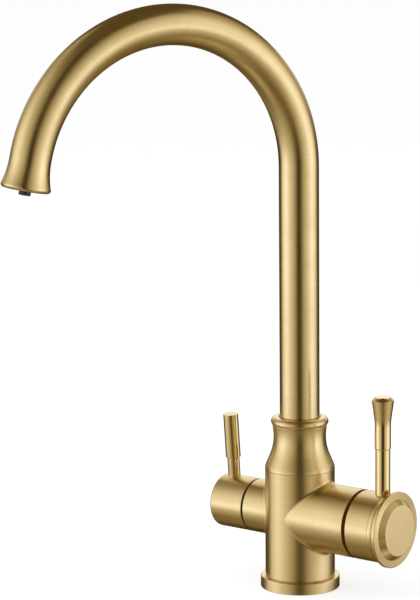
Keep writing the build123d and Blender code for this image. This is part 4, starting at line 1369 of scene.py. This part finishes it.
# ---------------------------------------------------------------- filter handle
@dataclass
class FilterHandle:
    """Hub, stem and knob on the filtered-water side, in millimetres."""

    back: float = 34.4
    radius: float = 16.9
    length: float = 24.9
    rim: float = 0.35
    edge: float = 1.6
    recess_radius: float = 14.6
    recess: float = 2.6
    bore: float = 3.95
    bore_end: float = 51.85
    grub_x: float = 43.4
    grub_radius: float = 1.65
    grub_segments: int = 48
    stem: LeverStem = LeverStem(
        radius=3.9, seat=14.5, top=29.4, thread_radius=2.5, thread_length=6.0, spigot_radius=2.4
    )
    knob_radius: float = 4.75
    knob_length: float = 29.2
    knob_chamfer: float = 0.7
    chamfer_edge: float = 0.1
    knob_edge: float = 0.3

    def build(self) -> None:
        """Make every piece of the handle that shows."""
        lever = TurningAxis.FILTER_LEVER
        gold = LEVER.material(lever, Brushing.BY_PLACE)
        brushed = BRUSHED.material(TurningAxis.FILTER_VALVE, Brushing.BY_PLACE)
        stand_for(self._hub(), "filter_hub", "filter_handle", BRUSHED.name, brushed)
        for node, corners in (
            ("filter_lever_stem", self.stem.section()),
            ("filter_lever_knob", self._knob()),
        ):
            mesh = Turning(node, corners, lever, closed=False).mesh()
            stand_for(mesh, node, "filter_handle", LEVER.name, gold)

    def _hub(self) -> Mesh:
        """Turned hub with the hole of its grub screw drilled into it.

        Returns:
            The hub's mesh.
        """
        end = self.back + self.length
        corners = [
            Corner(0, self.bore_end),
            Corner(self.bore, self.bore_end),
            Corner(self.bore, self.back + self.recess),
            Corner(self.recess_radius, self.back + self.recess),
            Corner(self.recess_radius, self.back),
            Corner(self.radius, self.back, self.rim),
            Corner(self.radius, end, self.edge),
            Corner(0, end),
        ]
        axis = TurningAxis.FILTER_VALVE
        blank = Turning("filter_hub", corners, axis, closed=False).mesh()
        drill_corners = [
            Corner(0, -2 * self.radius),
            Corner(self.grub_radius, -2 * self.radius),
            Corner(self.grub_radius, -self.bore),
            Corner(0, -self.bore),
        ]
        lever = TurningAxis.FILTER_LEVER
        drill = Turning("drill", drill_corners, lever, self.grub_segments, False).mesh()
        drill.transform(Matrix.Translation(((PLACES.filter_lever_x - self.grub_x) * MM, 0, 0)))
        return drilled(blank, drill, axis, self.radius * MM)

    def _knob(self) -> list[Corner]:
        """Half section of the straight knob.

        Returns:
            The corners, in order.
        """
        foot, top = self.stem.top, self.stem.top + self.knob_length
        return [
            *self.stem.socket(),
            Corner(self.knob_radius - self.knob_chamfer, foot, self.chamfer_edge),
            Corner(self.knob_radius, foot + self.knob_chamfer, self.chamfer_edge),
            Corner(self.knob_radius, top, self.knob_edge),
            Corner(0, top),
        ]


def drilled(blank: Mesh, drill: Mesh, axis: TurningAxis, radius: float) -> Mesh:
    """Drill a turned mesh and keep its outside as smooth as it was turned.

    Args:
        blank: The turned mesh.
        drill: The closed mesh that is taken away.
        axis: The axis of the turned mesh.
        radius: Radius of its outside, in metres.

    Returns:
        The drilled mesh.
    """
    holders = [placed(mesh.name, mesh) for mesh in (blank, drill)]
    cut = holders[0].modifiers.new("drill", "BOOLEAN")
    cut.operation, cut.solver, cut.object = "DIFFERENCE", "EXACT", holders[1]
    evaluated = holders[0].evaluated_get(bpy.context.evaluated_depsgraph_get())
    mesh = bpy.data.meshes.new_from_object(evaluated)
    holders[0].modifiers.remove(cut)
    for holder in holders:
        bpy.data.objects.remove(holder)
    shade_smooth(mesh)
    normals = [corner.vector.copy() for corner in mesh.corner_normals]
    place = axis.matrix()
    back = place.inverted()
    for face in mesh.polygons:
        spots = [back @ mesh.vertices[v].co for v in face.vertices]
        if any(abs(math.hypot(spot.x, spot.y) - radius) > WALL_CLOSENESS for spot in spots):
            continue
        for corner, spot in zip(face.loop_indices, spots):
            normals[corner] = (place.to_3x3() @ Vector((spot.x, spot.y, 0))).normalized()
    mesh.normals_split_custom_set(normals)
    return mesh


# ---------------------------------------------------------------- outlet
@dataclass
class Outlet:
    """Nozzle and aerator in the tip of the spout, in millimetres."""

    nozzle_radius: float = 3.65
    nozzle_reach: float = 3.0
    nozzle_bore: float = 2.0
    nozzle_edge: float = 0.3
    bore_edge: float = 0.1
    nozzle_segments: int = 96
    shank: float = 13.0
    collar_radius: float = 4.55
    collar_start: float = 3.95
    collar_length: float = 2.0
    socket_radius: float = 3.05
    socket_length: float = 6.0
    first_ring: float = 5.55
    pitch: float = 1.9
    rings: int = 3
    outlet_radius: float = 0.6
    rim_width: float = 0.22
    rim_proud: float = 0.3
    rim_inner_edge: float = 0.06
    rim_outer_edge: float = 0.08
    rim_segments: int = 16
    core_face: float = 1.15

    def build(self, spout: Spout) -> None:
        """Make the nozzle and the rims round the small outlets.

        Args:
            spout: The spout that they sit in.
        """
        place = self._tip(spout)
        axis, section = TurningAxis.SPOUT, self._nozzle()
        mesh = Turning("filtered_nozzle", section, axis, self.nozzle_segments).mesh()
        mesh.transform(place)
        stand_for(mesh, "filtered_nozzle", "spout", BLACK.name, BLACK.material())
        self._rims(place)

    def _tip(self, spout: Spout) -> Matrix:
        """Placement with the origin in the lip and local Z up into the spout.

        Args:
            spout: The spout that ends there.

        Returns:
            The placement, in metres.
        """
        sweep = math.radians(spout.arch_sweep)
        spot = Vector(
            (
                spout.arch_radius * (1 - math.cos(sweep)) + spout.tail * math.sin(sweep),
                0,
                spout.arch_height
                + spout.arch_radius * math.sin(sweep)
                + spout.tail * math.cos(sweep),
            )
        )
        up = Vector((-math.sin(sweep), 0, -math.cos(sweep)))
        side = Vector((0, 1, 0))
        stance = Matrix((side, up.cross(side), up)).transposed().to_4x4()
        turn = Matrix.Rotation(math.radians(PLACES.swivel_turn), 4, "Z")
        return turn @ Matrix.Translation(spot * MM) @ stance

    def _nozzle(self) -> list[Corner]:
        """Half section of the nozzle with its collar, bore and socket.

        Returns:
            The corners, in order.
        """
        top = self.shank
        return [
            Corner(self.nozzle_bore, -self.nozzle_reach, self.bore_edge),
            Corner(self.nozzle_radius, -self.nozzle_reach, self.nozzle_edge),
            Corner(self.nozzle_radius, self.collar_start),
            Corner(self.collar_radius, self.collar_start),
            Corner(self.collar_radius, self.collar_start + self.collar_length),
            Corner(self.nozzle_radius, self.collar_start + self.collar_length),
            Corner(self.nozzle_radius, top),
            Corner(self.socket_radius, top),
            Corner(self.socket_radius, top - self.socket_length),
            Corner(self.nozzle_bore, top - self.socket_length),
        ]

    def _rims(self, place: Matrix) -> None:
        """Small raised rims round the outlets of the aerator.

        Args:
            place: Placement of the tip.
        """
        outer = self.outlet_radius + self.rim_width
        section = [
            Corner(self.outlet_radius, 0),
            Corner(self.outlet_radius, -self.rim_proud, self.rim_inner_edge),
            Corner(outer, -self.rim_proud, self.rim_outer_edge),
            Corner(outer, 0),
        ]
        rim = Turning("outlet_rim", section, TurningAxis.SPOUT, self.rim_segments).mesh()
        values = {
            "First Radius": self.first_ring * MM,
            "Pitch": self.pitch * MM,
            "Material": GREY.material(),
        }
        mesh = shaped(rim, ring_tree(self.rings), values)
        mesh.transform(place @ Matrix.Translation((0, 0, self.core_face * MM)))
        piece = placed("aerator_outlet_rims", mesh)
        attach(piece, "spout")
        LOG.info("%s: %d faces", piece.name, len(mesh.polygons))


def ring_tree(rings: int) -> Tree:
    """Tree that repeats a small form on rings at an even pitch.

    Args:
        rings: How many rings there are.

    Returns:
        The tree.
    """
    graph, given, result = tree_start("RingsOfOutlets", ["First Radius", "Pitch"])
    pitch = given["Pitch"]
    joined = graph.add("GeometryNodeJoinGeometry")
    for ring in range(rings):
        radius = graph.math("MULTIPLY_ADD", pitch, float(ring), given["First Radius"])
        around = graph.math("DIVIDE", graph.math("MULTIPLY", radius, math.tau), pitch)
        circle = graph.add(
            "GeometryNodeMeshCircle", {"Vertices": graph.math("FLOOR", around), "Radius": radius}
        )
        rims = graph.add(
            "GeometryNodeInstanceOnPoints",
            {"Points": circle.outputs[0], "Instance": given["Geometry"]},
        )
        graph.feed(joined, {0: rims.outputs[0]})
    tree_end(graph, joined.outputs[0], given["Material"], result)
    return graph.tree


# ---------------------------------------------------------------- inner pieces
@dataclass
class InnerPieces:
    """Finishes of the nodes whose shape is used as it is."""

    plan: tuple[tuple[PlainFinish, str], ...] = (
        (RUBBER, "base_seal riser_o_ring spigot_o_rings aerator_seal cartridge_port_seals"),
        (RUBBER, "filter_valve_seal filter_spindle_ring"),
        (WHITE, "lower_swivel_washer upper_swivel_washer"),
        (WHITE, "cartridge_base cartridge_shell disc_driver cartridge_carrier"),
        (BLACK, "collar_bush aerator_housing filter_glide_ring"),
        (PLAIN_BRASS, "riser_fitting spout_spigot cartridge_nut cartridge_spindle"),
        (PLAIN_BRASS, "filter_valve_shell filter_spindle"),
        (TUBE, "filtered_water_tube"),
        (GREY, "aerator_core"),
        (CERAMIC, "fixed_ceramic_disc moving_ceramic_disc filter_fixed_disc filter_moving_disc"),
        (SHADED_DOME, "cartridge_dome"),
        (STAINLESS, "tilt_pin mixer_hub_screw filter_spindle_clip filter_grub_screw"),
    )

    def build(self) -> None:
        """Dress every node of the plan."""
        for finish, nodes in self.plan:
            for node in nodes.split():
                dress(node, finish.material())


# ---------------------------------------------------------------- studio
@dataclass(frozen=True)
class Lamp:
    """Soft lamp that aims at the object, in degrees, metres and watts."""

    name: str
    turn: float
    elevation: float
    distance: float
    power: float
    size: float = 0.9


@dataclass
class Studio:
    """Floor, light and camera. Lengths in metres and angles in degrees.

    Stops of the dome are angles with a strength of light, from 0 to 180 round the object, where 0
    is the front, and from -90 to 90 in height. Spans are where one run of stops gives way to
    another, as shares of the half turn.
    """

    azimuth: float = 37.38
    elevation: float = 11.046
    distance: float = 1.9755
    target: tuple[float, float, float] = (-0.0443, -0.0338, 0.1846)
    roll: float = -0.009
    lens: float = 189.97
    sensor: float = 36.0
    clipping: Pair = (0.05, 100.0)
    lamps: tuple[Lamp, ...] = (
        Lamp("key_lamp", turn=-55, elevation=50, distance=1.6, power=14.0),
        Lamp("fill_lamp", turn=60, elevation=40, distance=1.6, power=7.0),
    )
    diffuse_light: float = 0.95
    floor_size: float = 30.0
    floor_share: float = 0.70
    floor_colour: Colour = (0.96, 0.96, 0.96)
    floor_roughness: float = 0.9
    shade_middle: Pair = (-0.022, 0.013)
    shade_squeeze: float = 0.4
    shade_core: float = 0.012
    shade_edge: float = 0.032
    shade_light: float = 0.04
    flag_middle: tuple[float, float, float] = (-0.037, -0.086, 0.33)
    flag_radius: float = 0.24
    flag_grid: tuple[int, int] = (72, 48)
    flag_low: float = 13.0
    flag_high: float = 58.0
    flag_spread: float = 48.0
    flag_light: float = 0.09
    dome_radius: float = 12.0
    dome_grid: tuple[int, int] = (64, 32)
    dome_front: float = 35.8
    warmth: tuple[float, float, float] = (1.0, 1.15, 1.6)
    low_span: Pair = (0.34, 0.43)
    above_span: Pair = (0.48, 0.54)
    behind_span: Pair = (0.56, 0.72)
    table_stops: Stops = (
        (0, 0.003), (9, 0.01), (20, 0.42), (34, 0.72), (54, 1.05), (68, 1.38), (80, 1.62),
        (92, 1.32), (102, 1.16), (110, 1.02), (117, 0.33), (127, 0.06), (180, 0.01),
    )
    wall_stops: Stops = (
        (0, 0.03), (9, 0.06), (20, 0.38), (40, 0.64), (60, 0.90), (78, 1.16), (105, 0.88),
        (120, 0.50), (138, 0.35), (152, 0.75), (180, 1.2),
    )
    under_stops: Stops = (
        (0, 0.18), (20, 0.30), (40, 0.46), (60, 0.55), (75, 0.52), (90, 0.38), (104, 0.29),
        (127, 0.25), (152, 0.20), (180, 0.12),
    )
    depth_stops: Stops = ((-65, 1.0), (-52, 0.55), (-45, 0.6), (-30, 1.0))
    near_stops: Stops = (
        (-20, 0.64), (-10, 0.90), (6, 1.0), (18, 0.97), (33, 0.74), (51, 0.46), (58, 0.18),
        (90, 0.10),
    )
    far_stops: Stops = (
        (-20, 0.64), (-10, 0.90), (6, 1.0), (18, 0.95), (30, 0.85), (45, 0.95), (54, 0.9),
        (62, 0.4), (90, 0.10),
    )

    def build(self) -> None:
        """Make the studio."""
        self._camera()
        self._world()
        self._floor()
        self._dome()
        self._flag()
        for lamp in self.lamps:
            self._lamp(lamp)
        bpy.context.scene.view_settings.view_transform = "Standard"

    def _back(self, azimuth: float, elevation: float) -> Vector:
        """Direction from the object towards a place round it."""
        a, e = math.radians(azimuth), math.radians(elevation)
        return Vector((math.sin(a) * math.cos(e), -math.cos(a) * math.cos(e), math.sin(e)))

    def _aim(self, thing: bpy.types.Object, back: Vector, distance: float) -> None:
        """Stand a camera or a lamp off from the object and aim it back at the target.

        Args:
            thing: The camera or lamp.
            back: Direction from the object towards it.
            distance: How far off it stands.
        """
        thing.location = Vector(self.target) + back * distance
        thing.rotation_mode = "QUATERNION"
        thing.rotation_quaternion = (-back).to_track_quat("-Z", "Y")

    def _camera(self) -> None:
        """Camera at the photograph's angle."""
        data = bpy.data.cameras.new("camera")
        data.lens, data.sensor_width = self.lens, self.sensor
        data.clip_start, data.clip_end = self.clipping
        camera = placed("camera", data)
        self._aim(camera, self._back(self.azimuth, self.elevation), self.distance)
        camera.rotation_quaternion @= Quaternion((0, 0, 1), self.roll)
        bpy.context.scene.camera = camera

    def _lamp(self, lamp: Lamp) -> None:
        """Soft lamp that neither the camera nor gloss sees.

        Args:
            lamp: Its place, size and power.
        """
        data = bpy.data.lights.new(lamp.name, "AREA")
        data.energy, data.size = lamp.power, lamp.size
        thing = placed(lamp.name, data)
        self._aim(thing, self._back(self.azimuth + lamp.turn, lamp.elevation), lamp.distance)
        thing.visible_glossy = thing.visible_camera = False

    def _shown(self, graph: Graph) -> Socket:
        """1 for what the camera sees, straight or by gloss or through, and 0 for plain light.

        Args:
            graph: The material's graph.

        Returns:
            The mask of the rays.
        """
        path = graph.add("ShaderNodeLightPath")
        seen = graph.math("ADD", path.outputs["Is Camera Ray"], path.outputs["Is Glossy Ray"])
        return graph.math("ADD", seen, path.outputs["Is Transmission Ray"], clamp=True)

    def _world(self) -> None:
        """White surroundings with plain light."""
        world = bpy.data.worlds.new("studio")
        bpy.context.scene.world = world
        world.use_nodes = True
        world.node_tree.nodes.clear()
        graph = Graph(world.node_tree)
        plain, white = opaque((self.diffuse_light,) * 3), opaque((1.0, 1.0, 1.0))
        colour = graph.mix(self._shown(graph), plain, white, Mix.COLOUR)
        light = graph.add("ShaderNodeBackground", {"Color": colour, "Strength": 1.0})
        graph.add("ShaderNodeOutputWorld", {0: light.outputs[0]})

    def _floor(self) -> None:
        """Plain pale floor that keeps the shadow."""
        half = self.floor_size / 2
        mesh = bpy.data.meshes.new("floor")
        corners = [(-half, -half, 0), (half, -half, 0), (half, half, 0), (-half, half, 0)]
        mesh.from_pydata([Vector(c) for c in corners], [], [(0, 1, 2, 3)])
        material, graph = new_material("floor")
        look = {
            "Base Color": opaque(self.floor_colour),
            "Roughness": self.floor_roughness,
            "Specular IOR Level": 0.0,
        }
        paint = graph.add("ShaderNodeBsdfPrincipled", look).outputs[0]
        glow = graph.add("ShaderNodeEmission", {0: opaque((1.0, 1.0, 1.0))}).outputs[0]
        share = graph.math("MULTIPLY", self._shown(graph), self.floor_share)
        both = graph.add("ShaderNodeMixShader", {0: share, 1: paint, 2: glow}).outputs[0]
        gloss = graph.add("ShaderNodeLightPath").outputs["Is Glossy Ray"]
        graph.surface("ShaderNodeMixShader", {0: gloss, 1: both, 2: self._contact(graph)})
        mesh.materials.append(material)
        floor = placed("floor", mesh)

    def _contact(self, graph: Graph) -> Socket:
        """Floor as gloss sees it: dark where the housings shade it, elsewhere the dome's light.

        Args:
            graph: The material's graph.

        Returns:
            The shader.
        """
        from_middle = graph.vector("SUBTRACT", graph.spot(), (*self.shade_middle, 0.0))
        squeezed = graph.vector("MULTIPLY", from_middle, (self.shade_squeeze, 1.0, 1.0))
        away = graph.vector("LENGTH", squeezed)
        share = graph.share(away, self.shade_edge, self.shade_core, soft=True)
        clear = graph.add("ShaderNodeBsdfTransparent").outputs[0]
        shade = {0: opaque(self._dim(self.shade_light)), 1: 1.0}
        dark = graph.add("ShaderNodeEmission", shade).outputs[0]
        return graph.add("ShaderNodeMixShader", {0: share, 1: clear, 2: dark}).outputs[0]

    def _ball(self, radius: float, grid: tuple[int, int]) -> bmesh.types.BMesh:
        """Ball about the origin.

        Args:
            radius: Its radius.
            grid: Its steps round and up.

        Returns:
            The ball, to be freed after use.
        """
        build = bmesh.new()
        bmesh.ops.create_uvsphere(build, u_segments=grid[0], v_segments=grid[1], radius=radius)
        return build

    def _seen_by_gloss(
        self, name: str, build: bmesh.types.BMesh, middle: Vector, light: object
    ) -> bpy.types.Object:
        """Put a glowing form in the scene that only gloss sees.

        Args:
            name: Its name.
            build: Its form, about the origin.
            middle: Where it goes.
            light: Its colour, or a function that makes it from a graph.

        Returns:
            The object.
        """
        mesh = bpy.data.meshes.new(name)
        build.to_mesh(mesh)
        build.free()
        mesh.transform(Matrix.Translation(middle))
        mesh.materials.append(glowing(name, light))
        form = placed(name, mesh)
        form.visible_camera = form.visible_diffuse = form.visible_shadow = False
        form.visible_transmission = False
        return form

    def _flag(self) -> None:
        """Dark curved flag over and behind the arch."""
        build = self._ball(self.flag_radius, self.flag_grid)
        behind = -self._back(self.azimuth, 0).to_2d()
        bounds = (self.flag_low, self.flag_high, self.flag_spread)
        low, high, spread = (math.radians(angle) for angle in bounds)
        spare = []
        for face in build.faces:
            way = face.calc_center_median().normalized()
            rise = math.asin(way.z)
            aside = way.to_2d().angle(behind, 0.0)
            if rise < low or (rise < high and aside > spread):
                spare.append(face)
        bmesh.ops.delete(build, geom=spare, context="FACES")
        dark = self._dim(self.flag_light)
        flag = self._seen_by_gloss("flag", build, Vector(self.flag_middle), dark)

    def _dim(self, light: float) -> Colour:
        """Colour of a light, warmer where it is dim."""
        red, green, blue = (light**power for power in self.warmth)
        return red, green, blue

    def _dome(self) -> None:
        """Light dome: bright at its sides and behind, dark in front."""
        build = self._ball(self.dome_radius, self.dome_grid)
        dome = self._seen_by_gloss("light_dome", build, Vector(), self._dome_light)

    def _dome_light(self, graph: Graph) -> Socket:
        """Light of the dome by the angle from its front and by height.

        Args:
            graph: The material's graph.

        Returns:
            The colour of the light.
        """
        spot = graph.spot()
        level = graph.vector("NORMALIZE", graph.vector("MULTIPLY", spot, (1, 1, 0)))
        front = graph.vector("DOT_PRODUCT", level, self._back(self.dome_front, 0))
        turn = graph.math("DIVIDE", graph.math("ARCCOSINE", front), math.pi)
        height = graph.math("DIVIDE", graph.parts(spot)[2], self.dome_radius)
        rise = graph.math("MULTIPLY_ADD", graph.math("ARCSINE", height), 1 / math.pi, 0.5)
        table, wall, under = (
            self._ramp(graph, turn, stops, 0)
            for stops in (self.table_stops, self.wall_stops, self.under_stops)
        )
        near, far, depth = (
            self._ramp(graph, rise, stops, DOME_TOP)
            for stops in (self.near_stops, self.far_stops, self.depth_stops)
        )
        behind = graph.share(turn, *self.behind_span, soft=True)
        above = graph.share(rise, *self.above_span, soft=True)
        raised = graph.share(rise, *self.low_span, soft=True)
        sides = graph.mix(above, table, wall, Mix.COLOUR)
        by_height = graph.mix(behind, near, far, Mix.COLOUR)
        upper = graph.vector("MULTIPLY", sides, by_height)
        return graph.mix(raised, graph.vector("MULTIPLY", under, depth), upper, Mix.COLOUR)

    def _ramp(self, graph: Graph, share: Socket, stops: Stops, shift: float) -> Socket:
        """Light by an angle, warmer where it is dim.

        Args:
            graph: The material's graph.
            share: The angle as a share of the half turn.
            stops: Angles and strengths of light.
            shift: Degrees that bring the first angle of the half turn to 0.

        Returns:
            The colour of the light.
        """
        ramp = graph.add("ShaderNodeValToRGB", {0: share})
        elements = ramp.color_ramp.elements
        while len(elements) < len(stops):
            elements.new(0.5)
        for element, (angle, light) in zip(elements, stops):
            element.position = (angle + shift) / HALF_TURN
            element.color = opaque(self._dim(light))
        return ramp.outputs[0]


def main() -> None:
    """Build the tap and its studio in order."""
    logging.basicConfig(level=logging.INFO, format="%(name)s: %(message)s")
    Base().build()
    spout = Spout()
    spout.build()
    Outlet().build(spout)
    MixerHandle().build()
    FilterHandle().build()
    InnerPieces().build()
    Studio().build()


if __name__ == "__main__":
    main()
